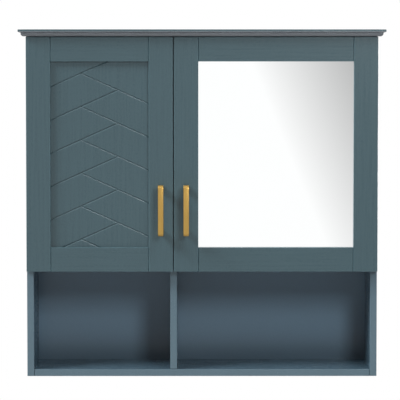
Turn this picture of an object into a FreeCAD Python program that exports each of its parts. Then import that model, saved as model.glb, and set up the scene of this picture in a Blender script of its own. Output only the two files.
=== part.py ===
"""Wall-hung medicine cabinet: two overlay doors above two open niches, under a moulded crown board.

The frame has +X to the right, +Y into the wall and +Z up. The origin is on the wall plane, at the centre
of the hanging cleat and midway between its two wall-screw holes. All sizes are in millimetres.
"""

import FreeCAD, Part
import math
import os

V = FreeCAD.Vector
LEFT = -1
RIGHT = 1

# Carcass
CARCASS_W = 610.0
CARCASS_H = 592.6
CARCASS_D = 160.0
PANEL_T = 12.0
DIVIDER_X = -49.4
BACK_T = 3.0
BACK_GROOVE = 5.0
BACK_CLEAR = 0.5
CLEAT_T = 12.0
CLEAT_H = 60.0
LOWER_CLEAT_H = 40.0
EASE_R = 0.7
JOINT_V_W = 0.9
JOINT_V_DEPTH = 2.6

# Crown board: a nosing with a slanting underside over a quarter-round step
CROWN_T = 12.0
CROWN_OVERHANG = 12.5
NOSING_T = 5.8
NOSING_STEP = 4.8
NOSING_SLANT = 1.8
CROWN_TOP_R = 0.9
OVOLO_R = 5.2

# Wall-screw holes through the cleat and the back panel
WALL_HOLE_SPACING = 406.4
WALL_HOLE_R = 2.75

# Doors
DOOR_H = 406.4
DOOR_T = 18.0
DOOR_STANDOFF = 2.5
DOOR_SIDE_INSET = 0.5
DOOR_TOP_GAP = 1.2
DOOR_MEETING_GAP = 2.0
DECK_RISE = 2.0
FRAME_W = 42.0
HINGE_EDGE_R = 1.0

# Left door infill: a floating panel in grooves, with stub tongues on the rails
PANEL_RECESS = 7.0
INFILL_T = 6.0
GROOVE_DEPTH = 9.0
GROOVE_CLEAR = 0.1
INFILL_CLEAR = 1.0
TONGUE_CLEAR = 0.3
CHEVRON_PITCH = 57.6
CHEVRON_SLOPE = 24.2
CHEVRON_FIRST = 20.5
CHEVRON_W = 2.2
CHEVRON_DEPTH = 1.3

# Right door infill: a mirror and its backing in a rebate, held by beads
MIRROR_RECESS = 7.0
MIRROR_T = 4.0
BACKING_T = 3.0
REBATE_W = 8.0
MIRROR_CLEAR = 0.5

# Bar pulls
PULL_SPACING = 76.0
PULL_LENGTH = 88.0
PULL_LEG = 8.0
PULL_W = 9.4
PULL_BAR_T = 8.0
PULL_REACH = 28.0
PULL_BEVEL = 4.0
PULL_EASE_R = 0.6
PULL_RISE = 107.5
PULL_SCREW_R = 2.0
PULL_SCREW_BITE = 10.0
PULL_HEAD_R = 4.0
PULL_HEAD_T = 1.8

# Cup hinges with one pivot and a gooseneck arm
HINGE_INSET = 80.0
PIVOT_INSET = 6.7
PIVOT_DEPTH = 7.7
PIN_R = 1.0
PIN_BITE = 2.6
RUN_CLEAR = 0.05
NOSE_R = 2.2
NECK_HALF_W = 2.4
NECK_SIDE_CLEAR = 0.4
NECK_BELOW = 1.0
NECK_T = 3.4
NECK_CLEAR = 0.6
NECK_BEND_R = 2.0
CUP_R = 13.0
CUP_EDGE = 3.5
CUP_WALL = 0.65
CUP_FLOOR = 0.9
CUP_FLOOR_CLEAR = 0.4
CHEEK_LENGTH = 7.0
CHEEK_SINK = 1.6
FLANGE_T = 1.0
FLANGE_LIP = 1.3
EAR_R = 5.0
EAR_OFFSET = 6.0
EAR_SPACING = 33.0
ARM_HALF_W = 6.0
ARM_LENGTH = 46.0
ARM_FRONT_GAP = 2.0
ARM_EASE_R = 1.2
PLATE_T = 2.0
PLATE_SETBACK = 37.0
PLATE_DEPTH = 16.0
PLATE_SCREW_SPACING = 32.0
PLATE_END = 6.0
ARM_SCREW_BACK = 26.0

# Shelves on pins
SHELF_RISE = 190.0
SHELF_SETBACK = 12.0
SHELF_BACK_GAP = 2.0
SHELF_SIDE_CLEAR = 1.0
SHELF_PIN_R = 2.5
SHELF_PIN_OUT = 8.0
SHELF_HOLE_DEPTH = 5.0
SHELF_HOLE_PITCH = 32.0
SHELF_SPARE_HOLES = 2
SHELF_PIN_FRONT = 30.0
SHELF_PIN_REAR = 30.0

# Dowels, screws and fits
DOWEL_R = 3.0
DOWEL_LENGTH = 24.0
DOWEL_IN_FACE = 8.0
DOWEL_END_GAP = 0.5
DOWEL_FRONT = 30.0
DOWEL_REAR = 32.0
DOWEL_SHIFT = 20.0
FRAME_DOWEL_INSET = 10.0
FRAME_DOWEL_PITCH = 16.0
FIT_CLEAR = 0.05
CROWN_SCREW_R = 2.0
CROWN_SCREW_BITE = 8.0
CROWN_SCREW_END = 40.0
CROWN_SCREW_FRONT = 40.0
CROWN_SCREW_REAR = 40.0
SMALL_SCREW_R = 1.5
SMALL_SCREW_BITE = 8.0
HEAD_RATIO = 2.0

# Bumpers and magnetic catches
BUMPER_R = 4.0
BUMPER_CLEAR = 0.2
BUMPER_EASE_R = 0.8
CATCH_W = 32.0
CATCH_D = 14.0
CATCH_H = 12.0
CATCH_SIDE_GAP = 4.0
CATCH_SCREW_INSET = 5.0
POLE_T = 1.6
POLE_INSET = 2.5
POLE_OUT = 0.9
STRIKE_T = 1.2
STRIKE_MARGIN = 1.0

# Reference planes and places that follow from the sizes above
half_w = CARCASS_W / 2
inner_x = half_w - PANEL_T
front_y = -CARCASS_D
back_front_y = -(CLEAT_T + BACK_T)
top_z = CLEAT_H / 2 + PANEL_T
ceiling_z = top_z - PANEL_T
bottom_z = top_z - CARCASS_H
floor_z = bottom_z + PANEL_T
divider_xs = (DIVIDER_X - PANEL_T / 2, DIVIDER_X + PANEL_T / 2)

door_back_y = front_y - DOOR_STANDOFF
door_front_y = door_back_y - DOOR_T
door_top_z = top_z - DOOR_TOP_GAP
door_bottom_z = door_top_z - DOOR_H
opening_zs = (door_bottom_z + FRAME_W, door_top_z - FRAME_W)
hinge_x = {side: side * (half_w - DOOR_SIDE_INSET) for side in (LEFT, RIGHT)}
lock_x = {side: DIVIDER_X + side * DOOR_MEETING_GAP / 2 for side in (LEFT, RIGHT)}
pull_z = door_bottom_z + PULL_RISE
hinge_zs = {"upper": door_top_z - HINGE_INSET, "lower": door_bottom_z + HINGE_INSET}

deck_bottom_z = door_bottom_z + DECK_RISE
deck_top_z = deck_bottom_z + PANEL_T
shelf_bottom_z = deck_top_z + SHELF_RISE
pin_z = shelf_bottom_z - SHELF_PIN_R
pin_ys = (front_y + SHELF_PIN_FRONT, back_front_y - SHELF_PIN_REAR)

infill_front_y = door_front_y + PANEL_RECESS
mirror_front_y = door_front_y + MIRROR_RECESS
backing_front_y = mirror_front_y + MIRROR_T
bead_front_y = backing_front_y + BACKING_T

# Hinge places: u runs in from the outer face of a side panel, v runs forward from the carcass front
pivot_u = DOOR_SIDE_INSET + PIVOT_INSET
pivot_v = DOOR_STANDOFF + PIVOT_DEPTH
cup_u = DOOR_SIDE_INSET + CUP_EDGE + CUP_R
cup_floor_v = pivot_v + NOSE_R + CUP_FLOOR_CLEAR
flange_v = DOOR_STANDOFF - FLANGE_T
flange_swing = math.hypot(cup_u - CUP_R - FLANGE_LIP - pivot_u, pivot_v - flange_v)
neck_us = (pivot_u + flange_swing + NECK_CLEAR, pivot_u + flange_swing + NECK_CLEAR + NECK_T)
plate_top_u = PANEL_T + PLATE_T

TOUCH = 1e-4


def block(xs, ys, zs):
    """Box between two x, two y and two z values, each pair in any order."""
    sizes = [max(pair) - min(pair) for pair in (xs, ys, zs)]
    return Part.makeBox(*sizes, V(min(xs), min(ys), min(zs)))


def rod(radius, start, end):
    """Cylinder between two points."""
    axis = end - start
    return Part.makeCylinder(radius, axis.Length, start, axis)


def cone(start_radius, end_radius, start, end):
    """Cone between two points."""
    axis = end - start
    return Part.makeCone(start_radius, end_radius, axis.Length, start, axis)


def prism(points, sweep):
    """Solid swept from a closed outline of straight runs."""
    return Part.Face(Part.makePolygon(points + points[:1])).extrude(sweep)


def in_plane(edge, axis, value):
    """Whether both ends of an edge have a value on one axis."""
    return all(abs(getattr(vertex.Point, axis) - value) < TOUCH for vertex in edge.Vertexes)


def ease(shape, radius, picks):
    """Round every edge that the test picks."""
    return shape.makeFillet(radius, [edge for edge in shape.Edges if picks(edge)])


def board(xs, ys, zs, radius=EASE_R):
    """Board with the four edges of its front face eased."""
    return ease(block(xs, ys, zs), radius, lambda edge: in_plane(edge, "y", min(ys)))


def joint_v(corner, inward, sweep):
    """Cutter for the fine V at a joint, along the front corner of a board's end."""
    points = [corner, corner + inward * JOINT_V_W, corner + V(0, JOINT_V_DEPTH, 0)]
    return prism(points, sweep)


def end_vs(xs, y, zs):
    """Cutters for the fine V at both ends of a cross board."""
    up = V(0, 0, zs[1] - zs[0])
    return [joint_v(V(x, y, zs[0]), V(inward, 0, 0), up) for x, inward in ((min(xs), 1), (max(xs), -1))]


def screw(radius, seat, tip):
    """Countersunk screw from the middle of its head to its tip."""
    direction = (tip - seat).normalize()
    head_r = radius * HEAD_RATIO
    return cone(head_r, radius, seat, seat + direction * (head_r - radius)).fuse(rod(radius, seat, tip))


def side_point(side, u, v, z):
    """Point in the hinge coordinates of one side."""
    return V(side * (half_w - u), front_y - v, z)


def side_block(side, us, vs, zs):
    """Box in the hinge coordinates of one side."""
    xs = [side * (half_w - u) for u in us]
    ys = [front_y - v for v in vs]
    return block(xs, ys, zs)


def side_prefix(side):
    """Name of one side."""
    return "left" if side == LEFT else "right"


def compartment_xs(side):
    """Inner faces to the left and right of one compartment."""
    return (-inner_x, divider_xs[0]) if side == LEFT else (divider_xs[1], inner_x)


def dowel_places():
    """Joint face and outward direction for every dowel of the carcass."""
    front = front_y + DOWEL_FRONT
    rear = back_front_y - DOWEL_REAR
    places = []
    for side in (LEFT, RIGHT):
        for z in (ceiling_z + PANEL_T / 2, deck_bottom_z + PANEL_T / 2, floor_z - PANEL_T / 2):
            places += [(V(side * inner_x, y, z), V(side, 0, 0)) for y in (front, rear)]
        for z in (-CLEAT_H / 4, CLEAT_H / 4, floor_z + LOWER_CLEAT_H / 2):
            places.append((V(side * inner_x, -CLEAT_T / 2, z), V(side, 0, 0)))
    for y in (front, rear):
        places.append((V(DIVIDER_X, y, ceiling_z), V(0, 0, 1)))
        places.append((V(DIVIDER_X, y, deck_top_z), V(0, 0, -1)))
    for y in (front + DOWEL_SHIFT, rear - DOWEL_SHIFT):
        places.append((V(DIVIDER_X, y, deck_bottom_z), V(0, 0, 1)))
        places.append((V(DIVIDER_X, y, floor_z), V(0, 0, -1)))
    return places


def dowel_solids(places, in_face, radius, end_gap):
    """Dowels, or with a clearance their holes, across the joint faces at the places."""
    in_end = DOWEL_LENGTH - in_face + end_gap
    return [rod(radius, at - out * in_end, at + out * (in_face + end_gap)) for at, out in places]


def shelf_pin_places():
    """Mouth of the hole and outward direction for every shelf pin."""
    places = []
    for side in (LEFT, RIGHT):
        low, high = compartment_xs(side)
        places += [(V(x, y, pin_z), V(out, 0, 0)) for x, out in ((low, 1), (high, -1)) for y in pin_ys]
    return places


def shelf_holes():
    """Holes for the shelf pins, with spare ones above and below."""
    holes = []
    for at, out in shelf_pin_places():
        for step in range(-SHELF_SPARE_HOLES, SHELF_SPARE_HOLES + 1):
            mouth = at + V(0, 0, step * SHELF_HOLE_PITCH)
            holes.append(rod(SHELF_PIN_R + FIT_CLEAR, mouth, mouth - out * SHELF_HOLE_DEPTH))
    return holes


def crown_screws():
    """Screws up through the top panel into the crown board."""
    xs = (-inner_x + CROWN_SCREW_END, DIVIDER_X + CROWN_SCREW_END, inner_x - CROWN_SCREW_END)
    ys = (front_y + CROWN_SCREW_FRONT, back_front_y - CROWN_SCREW_REAR)
    return [
        screw(CROWN_SCREW_R, V(x, y, ceiling_z), V(x, y, top_z + CROWN_SCREW_BITE))
        for x in xs
        for y in ys
    ]


def crown_outline(inset, z):
    """Outline of the crown board at one height, drawn in on the front and both ends."""
    x = half_w + CROWN_OVERHANG - inset
    y = door_front_y - CROWN_OVERHANG + inset
    corners = [V(-x, y, z), V(x, y, z), V(x, 0, z), V(-x, 0, z)]
    return Part.makePolygon(corners + corners[:1])


def crown_board():
    """Crown board with a moulded edge on the front and both ends."""
    crown_top_z = top_z + CROWN_T
    split_z = crown_top_z - NOSING_T
    slant_z = split_z + NOSING_SLANT

    def moulded(edge, z):
        """Whether an edge lies at one height and not along the wall."""
        return in_plane(edge, "z", z) and not in_plane(edge, "y", 0)

    nosing = Part.Face(crown_outline(0, slant_z)).extrude(V(0, 0, crown_top_z - slant_z))
    nosing = ease(nosing, CROWN_TOP_R, lambda edge: moulded(edge, crown_top_z))
    slant = Part.makeLoft([crown_outline(NOSING_STEP, split_z), crown_outline(0, slant_z)], True, True)
    ovolo = Part.Face(crown_outline(NOSING_STEP, top_z)).extrude(V(0, 0, split_z - top_z))
    ovolo = ease(ovolo, OVOLO_R, lambda edge: moulded(edge, top_z))
    return nosing.fuse([slant, ovolo]).removeSplitter()


def carcass_parts():
    """Boards of the carcass, its cleats, shelves and fasteners."""
    dowels = dowel_places()
    holes = dowel_solids(dowels, DOWEL_IN_FACE, DOWEL_R + FIT_CLEAR, DOWEL_END_GAP)
    pin_holes = shelf_holes()
    screws = crown_screws()
    wall_hole_xs = (-WALL_HOLE_SPACING / 2, WALL_HOLE_SPACING / 2)
    wall_holes = [rod(WALL_HOLE_R, V(x, back_front_y, 0), V(x, 0, 0)) for x in wall_hole_xs]
    back_xs = (-inner_x - BACK_GROOVE + BACK_CLEAR, inner_x + BACK_GROOVE - BACK_CLEAR)
    back_zs = (floor_z - BACK_GROOVE + BACK_CLEAR, ceiling_z + BACK_GROOVE - BACK_CLEAR)
    back_slot = block(
        (-inner_x - BACK_GROOVE, inner_x + BACK_GROOVE),
        (-CLEAT_T, back_front_y),
        (floor_z - BACK_GROOVE, ceiling_z + BACK_GROOVE),
    )
    inside_xs = (-inner_x, inner_x)
    full_ys = (front_y, 0)
    inside_ys = (front_y, back_front_y)
    parts = {}
    for side in (LEFT, RIGHT):
        upright = board((side * inner_x, side * half_w), full_ys, (bottom_z, top_z))
        parts[f"side_{side_prefix(side)}"] = upright.cut([back_slot, *holes, *pin_holes])
    top = board(inside_xs, full_ys, (ceiling_z, top_z))
    parts["top_panel"] = top.cut([back_slot, *holes, *screws])
    bottom_zs = (bottom_z, floor_z)
    bottom = board(inside_xs, full_ys, bottom_zs)
    parts["bottom_panel"] = bottom.cut([back_slot, *holes, *end_vs(inside_xs, front_y, bottom_zs)])
    parts["deck_panel"] = board(inside_xs, inside_ys, (deck_bottom_z, deck_top_z)).cut(holes)
    upper = board(divider_xs, inside_ys, (deck_top_z, ceiling_z))
    parts["upper_divider"] = upper.cut([*holes, *pin_holes])
    lower = board(divider_xs, inside_ys, (floor_z, deck_bottom_z))
    foot_v = joint_v(V(divider_xs[0], front_y, floor_z), V(0, 0, 1), V(PANEL_T, 0, 0))
    parts["lower_divider"] = lower.cut([foot_v, *holes])
    parts["back_panel"] = block(back_xs, (-CLEAT_T, back_front_y), back_zs).cut(wall_holes)
    cleat = block(inside_xs, (-CLEAT_T, 0), (-CLEAT_H / 2, CLEAT_H / 2))
    parts["hanging_cleat"] = cleat.cut([*wall_holes, *holes])
    parts["lower_cleat"] = block(inside_xs, (-CLEAT_T, 0), (floor_z, floor_z + LOWER_CLEAT_H)).cut(holes)
    parts["crown_board"] = crown_board().cut(screws)
    parts["carcass_dowels"] = dowel_solids(dowels, DOWEL_IN_FACE, DOWEL_R, 0)
    parts["crown_screws"] = screws
    for side in (LEFT, RIGHT):
        low, high = compartment_xs(side)
        parts[f"{side_prefix(side)}_shelf"] = board(
            (low + SHELF_SIDE_CLEAR, high - SHELF_SIDE_CLEAR),
            (front_y + SHELF_SETBACK, back_front_y - SHELF_BACK_GAP),
            (shelf_bottom_z, shelf_bottom_z + PANEL_T),
        )
    parts["shelf_pins"] = [
        rod(SHELF_PIN_R, at - out * SHELF_HOLE_DEPTH, at + out * SHELF_PIN_OUT)
        for at, out in shelf_pin_places()
    ]
    return parts


def hinge_plate(side, z):
    """Mounting plate on the inner face of a side panel."""
    half_l = PLATE_SCREW_SPACING / 2 + PLATE_END
    vs = (-PLATE_SETBACK - PLATE_DEPTH / 2, -PLATE_SETBACK + PLATE_DEPTH / 2)
    cross = side_block(side, (PANEL_T, plate_top_u), vs, (z - half_l, z + half_l))
    rail_vs = (-ARM_LENGTH, -ARM_FRONT_GAP)
    rail = side_block(side, (PANEL_T, plate_top_u), rail_vs, (z - ARM_HALF_W, z + ARM_HALF_W))
    return cross.fuse(rail).removeSplitter()


def hinge_plate_screws(side, z):
    """Two screws that hold a mounting plate."""
    offsets = (-PLATE_SCREW_SPACING / 2, PLATE_SCREW_SPACING / 2)
    return [
        screw(
            SMALL_SCREW_R,
            side_point(side, plate_top_u, -PLATE_SETBACK, z + offset),
            side_point(side, plate_top_u - PLATE_T - SMALL_SCREW_BITE, -PLATE_SETBACK, z + offset),
        )
        for offset in offsets
    ]


def hinge_arm_screw(side, z):
    """Screw that holds an arm on its mounting plate."""
    seat = side_point(side, neck_us[1], -ARM_SCREW_BACK, z)
    return screw(SMALL_SCREW_R, seat, side_point(side, PANEL_T, -ARM_SCREW_BACK, z))


def hinge_arm(side, z):
    """Gooseneck arm from the mounting plate into the cup, with a bored nose round the pivot."""
    neck_zs = (z - NECK_HALF_W, z + NECK_HALF_W)
    neck_top_v = pivot_v + NOSE_R
    nose = rod(
        NOSE_R,
        side_point(side, pivot_u, pivot_v, neck_zs[0]),
        side_point(side, pivot_u, pivot_v, neck_zs[1]),
    )
    reach = side_block(side, (pivot_u, neck_us[1]), (pivot_v - NECK_BELOW, neck_top_v), neck_zs)
    stem = side_block(side, neck_us, (-ARM_FRONT_GAP, neck_top_v), neck_zs)
    goose = reach.fuse(stem).removeSplitter()
    outer_corner = side_point(side, neck_us[1], neck_top_v, z)

    def at_bend(edge):
        """Whether an edge is the outer corner of the gooseneck."""
        return in_plane(edge, "x", outer_corner.x) and in_plane(edge, "y", outer_corner.y)

    goose = ease(goose, NECK_BEND_R, at_bend)
    body_us = (plate_top_u, neck_us[1])
    body = side_block(side, body_us, (-ARM_LENGTH, -ARM_FRONT_GAP), (z - ARM_HALF_W, z + ARM_HALF_W))
    crest_x = side_point(side, neck_us[1], 0, z).x
    body = ease(body, ARM_EASE_R, lambda edge: in_plane(edge, "x", crest_x))
    bore = rod(
        PIN_R + RUN_CLEAR,
        side_point(side, pivot_u, pivot_v, neck_zs[0]),
        side_point(side, pivot_u, pivot_v, neck_zs[1]),
    )
    return body.fuse([goose, nose]).removeSplitter().cut([bore, hinge_arm_screw(side, z)])


def hinge_pin(side, z):
    """Pivot pin held in the cheeks of a cup."""
    half_l = NECK_HALF_W + NECK_SIDE_CLEAR + PIN_BITE
    return rod(
        PIN_R,
        side_point(side, pivot_u, pivot_v, z - half_l),
        side_point(side, pivot_u, pivot_v, z + half_l),
    )


def cup_screws(side, z):
    """Two screws through the ears of a cup into the stile."""
    ear_u = cup_u + EAR_OFFSET
    return [
        screw(
            SMALL_SCREW_R,
            side_point(side, ear_u, flange_v, z + offset),
            side_point(side, ear_u, DOOR_STANDOFF + SMALL_SCREW_BITE, z + offset),
        )
        for offset in (-EAR_SPACING / 2, EAR_SPACING / 2)
    ]


def cup_bore(side, z):
    """Bore in the stile for one cup."""
    return rod(
        CUP_R + FIT_CLEAR,
        side_point(side, cup_u, DOOR_STANDOFF, z),
        side_point(side, cup_u, cup_floor_v + CUP_FLOOR, z),
    )


def hinge_cup(side, z):
    """Cup with a flange and two ears, hollow but for the cheeks that hold the pin."""
    mouth = side_point(side, cup_u, flange_v, z)
    face = side_point(side, cup_u, DOOR_STANDOFF, z)
    shell = rod(CUP_R, mouth, side_point(side, cup_u, cup_floor_v + CUP_FLOOR, z))
    flange = [rod(CUP_R + FLANGE_LIP, mouth, face)]
    ear_u = cup_u + EAR_OFFSET
    ear_zs = (z - EAR_SPACING / 2, z + EAR_SPACING / 2)
    flange.append(side_block(side, (ear_u - EAR_R, ear_u + EAR_R), (flange_v, DOOR_STANDOFF), ear_zs))
    for ear_z in ear_zs:
        ear_mouth = side_point(side, ear_u, flange_v, ear_z)
        flange.append(rod(EAR_R, ear_mouth, side_point(side, ear_u, DOOR_STANDOFF, ear_z)))
    hollow = rod(CUP_R - CUP_WALL, mouth, side_point(side, cup_u, cup_floor_v, z))
    slot_half = NECK_HALF_W + NECK_SIDE_CLEAR
    cheek_us = (cup_u - CUP_R, pivot_u + CHEEK_LENGTH - NOSE_R)
    cheek_vs = (DOOR_STANDOFF + CHEEK_SINK, cup_floor_v)
    cheeks = [
        side_block(side, cheek_us, cheek_vs, (z + end * slot_half, z + end * CUP_R)) for end in (-1, 1)
    ]
    shell = shell.fuse(flange).removeSplitter().cut(hollow.cut(cheeks))
    return shell.cut([hinge_pin(side, z), *cup_screws(side, z)])


def catch(side):
    """Magnetic catch under the top panel beside the divider, with two steel poles."""
    near = DIVIDER_X + side * (PANEL_T / 2 + CATCH_SIDE_GAP)
    xs = (near, near + side * CATCH_W)
    zs = (ceiling_z - CATCH_H, ceiling_z)
    body = board(xs, (front_y, front_y + CATCH_D), zs)
    poles = []
    for z in (zs[0] + POLE_INSET, zs[1] - POLE_INSET - POLE_T):
        inset_xs = (min(xs) + POLE_INSET, max(xs) - POLE_INSET)
        poles.append(block(inset_xs, (front_y - POLE_OUT, front_y + POLE_INSET), (z, z + POLE_T)))
    return body.fuse(poles).cut(catch_screws(side))


def catch_screws(side):
    """Two screws up through a catch into the top panel."""
    near = DIVIDER_X + side * (PANEL_T / 2 + CATCH_SIDE_GAP)
    y = front_y + CATCH_D / 2
    xs = (near + side * CATCH_SCREW_INSET, near + side * (CATCH_W - CATCH_SCREW_INSET))
    return [
        screw(SMALL_SCREW_R, V(x, y, ceiling_z - CATCH_H), V(x, y, ceiling_z + SMALL_SCREW_BITE))
        for x in xs
    ]


def strike_plate(side):
    """Steel plate on the door's back, opposite the catch."""
    near = DIVIDER_X + side * (PANEL_T / 2 + CATCH_SIDE_GAP + STRIKE_MARGIN)
    far = near + side * (CATCH_W - 2 * STRIKE_MARGIN)
    return block((near, far), (door_back_y, door_back_y + STRIKE_T), (ceiling_z - CATCH_H, ceiling_z))


def bumpers(side):
    """Two soft bumpers on the door's back, against the top panel and the deck."""
    x = lock_x[side] + side * FRAME_W / 2
    tip_y = front_y - BUMPER_CLEAR
    pads = []
    for z in (ceiling_z + PANEL_T / 2, deck_bottom_z + PANEL_T / 2):
        pad = rod(BUMPER_R, V(x, door_back_y, z), V(x, tip_y, z))
        pads.append(ease(pad, BUMPER_EASE_R, lambda edge: in_plane(edge, "y", tip_y)))
    return pads


def pull(side):
    """Bar pull: a bar with bevelled ends on two square legs, in one piece."""
    x = lock_x[side] + side * FRAME_W / 2
    tip_y = door_front_y - PULL_REACH
    bar_back_y = tip_y + PULL_BAR_T
    half_l = PULL_LENGTH / 2
    leg_in, leg_out = (PULL_SPACING - PULL_LEG) / 2, (PULL_SPACING + PULL_LEG) / 2
    upper = [
        (bar_back_y, leg_in),
        (door_front_y, leg_in),
        (door_front_y, leg_out),
        (bar_back_y, leg_out),
        (bar_back_y, half_l),
        (tip_y + PULL_BEVEL, half_l),
        (tip_y, half_l - PULL_BEVEL),
    ]
    outline = upper + [(y, -z) for y, z in reversed(upper)]
    cheek_xs = (x - PULL_W / 2, x + PULL_W / 2)
    bar = prism([V(cheek_xs[0], y, pull_z + z) for y, z in outline], V(PULL_W, 0, 0))

    def long_edge(edge):
        """Whether an edge runs along a cheek of the bar and off the door."""
        on_cheek = any(in_plane(edge, "x", cheek) for cheek in cheek_xs)
        return on_cheek and not in_plane(edge, "y", door_front_y)

    return ease(bar, PULL_EASE_R, long_edge).cut(pull_screws(side))


def pull_screws(side):
    """Two pan-head screws from the back of the stile into the legs of the pull."""
    x = lock_x[side] + side * FRAME_W / 2
    screws = []
    for z in (pull_z - PULL_SPACING / 2, pull_z + PULL_SPACING / 2):
        seat = V(x, door_back_y, z)
        head_back_y = door_back_y + PULL_HEAD_T
        head = rod(PULL_HEAD_R, seat, V(x, head_back_y, z))
        head = ease(head, PULL_HEAD_T / 2, lambda edge: in_plane(edge, "y", head_back_y))
        screws.append(head.fuse(rod(PULL_SCREW_R, seat, V(x, door_front_y - PULL_SCREW_BITE, z))))
    return screws


def frame_spans(side):
    """X spans of the hinge stile, the lock stile and the opening of one door."""
    hinge = (hinge_x[side], hinge_x[side] - side * FRAME_W)
    lock = (lock_x[side], lock_x[side] + side * FRAME_W)
    return hinge, lock, (hinge[1], lock[1])


def frame_member(xs, zs):
    """Stile or rail with its front edges eased."""
    return board(xs, (door_front_y, door_back_y), zs)


def stiles(side):
    """Hinge stile with its swinging edge rounded and cup bores, and lock stile with pull holes."""
    hinge_xs, lock_xs, _ = frame_spans(side)
    door_zs = (door_bottom_z, door_top_z)
    hinge = frame_member(hinge_xs, door_zs)

    def swinging(edge):
        """Whether an edge is the outer one at the back of the door."""
        return in_plane(edge, "x", hinge_x[side]) and in_plane(edge, "y", door_back_y)

    hinge = ease(hinge, HINGE_EDGE_R, swinging)
    for z in hinge_zs.values():
        hinge = hinge.cut([cup_bore(side, z), *cup_screws(side, z)])
    lock = frame_member(lock_xs, door_zs).cut(pull_screws(side))
    return hinge, lock


def rails(side):
    """Top and bottom rail between the stiles."""
    _, _, open_xs = frame_spans(side)
    return [
        frame_member(open_xs, zs).cut(end_vs(open_xs, door_front_y, zs))
        for zs in ((opening_zs[1], door_top_z), (door_bottom_z, opening_zs[0]))
    ]


def v_groove(start, end):
    """Cutter for one V-groove between two points of the panel's face."""
    lead = 1.0 + EASE_R / CHEVRON_DEPTH
    across = (end - start).normalize().cross(V(0, 1, 0)) * (CHEVRON_W / 2 * lead)
    ahead = V(0, -EASE_R, 0)
    corners = [start + across + ahead, start - across + ahead, start + V(0, CHEVRON_DEPTH, 0)]
    return prism(corners, end - start)


def chevron_cutters(open_xs):
    """V-grooves of the chevron: rising ones from the left edge and falling ones to the right edge."""
    centre_x = sum(open_xs) / 2
    reach = abs(open_xs[1] - open_xs[0]) / 2 + GROOVE_DEPTH
    rise = math.tan(math.radians(CHEVRON_SLOPE))
    knot = CHEVRON_PITCH / (4 * rise)
    rows = int((opening_zs[1] - opening_zs[0] - CHEVRON_FIRST) / CHEVRON_PITCH) + 1
    cutters = []
    for row in range(rows):
        knot_z = opening_zs[1] - CHEVRON_FIRST - row * CHEVRON_PITCH

        def on_face(dx, climb):
            """Point of the face beside the centre line, above or below the row's left knot."""
            return V(centre_x + dx, infill_front_y, knot_z + climb)

        cutters.append(v_groove(on_face(-reach, -rise * (reach - knot)), on_face(knot, 2 * rise * knot)))
        cutters.append(v_groove(on_face(-knot, 0), on_face(reach, -rise * (reach + knot))))
    return cutters


def left_frame():
    """Left door frame: grooved stiles, rails with stub tongues, and the floating chevron panel."""
    _, _, open_xs = frame_spans(LEFT)
    door_zs = (door_bottom_z, door_top_z)
    slot_ys = (infill_front_y - GROOVE_CLEAR, infill_front_y + INFILL_T + GROOVE_CLEAR)
    low_x, high_x = min(open_xs), max(open_xs)
    stile_slot = block((low_x - GROOVE_DEPTH, high_x + GROOVE_DEPTH), slot_ys, door_zs)
    rail_slot = block(
        (low_x - GROOVE_DEPTH, high_x + GROOVE_DEPTH),
        slot_ys,
        (opening_zs[0] - GROOVE_DEPTH, opening_zs[1] + GROOVE_DEPTH),
    )
    tongue = GROOVE_DEPTH - TONGUE_CLEAR
    hinge, lock = [stile.cut(stile_slot) for stile in stiles(LEFT)]
    plain_rails = rails(LEFT)
    tongued = []
    for rail, rail_zs in zip(plain_rails, ((opening_zs[1], door_top_z), (door_bottom_z, opening_zs[0]))):
        tongues = block((low_x - tongue, high_x + tongue), slot_ys, rail_zs)
        tongued.append(rail.fuse(tongues).removeSplitter().cut(rail_slot))
    spread = GROOVE_DEPTH - INFILL_CLEAR
    infill = block(
        (low_x - spread, high_x + spread),
        (infill_front_y, infill_front_y + INFILL_T),
        (opening_zs[0] - spread, opening_zs[1] + spread),
    )
    return {
        "left_hinge_stile": hinge,
        "left_lock_stile": lock,
        "left_top_rail": tongued[0],
        "left_bottom_rail": tongued[1],
        "left_chevron_panel": infill.cut(chevron_cutters(open_xs)),
    }


def frame_dowel_places(open_xs):
    """Joint face and outward direction for the dowels between rails and stiles."""
    y = (door_front_y + door_back_y) / 2
    low_x, high_x = min(open_xs), max(open_xs)
    places = []
    for edge_z, inward in ((door_top_z, -1), (door_bottom_z, 1)):
        for step in range(2):
            z = edge_z + inward * (FRAME_DOWEL_INSET + step * FRAME_DOWEL_PITCH)
            places += [(V(low_x, y, z), V(-1, 0, 0)), (V(high_x, y, z), V(1, 0, 0))]
    return places


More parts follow.
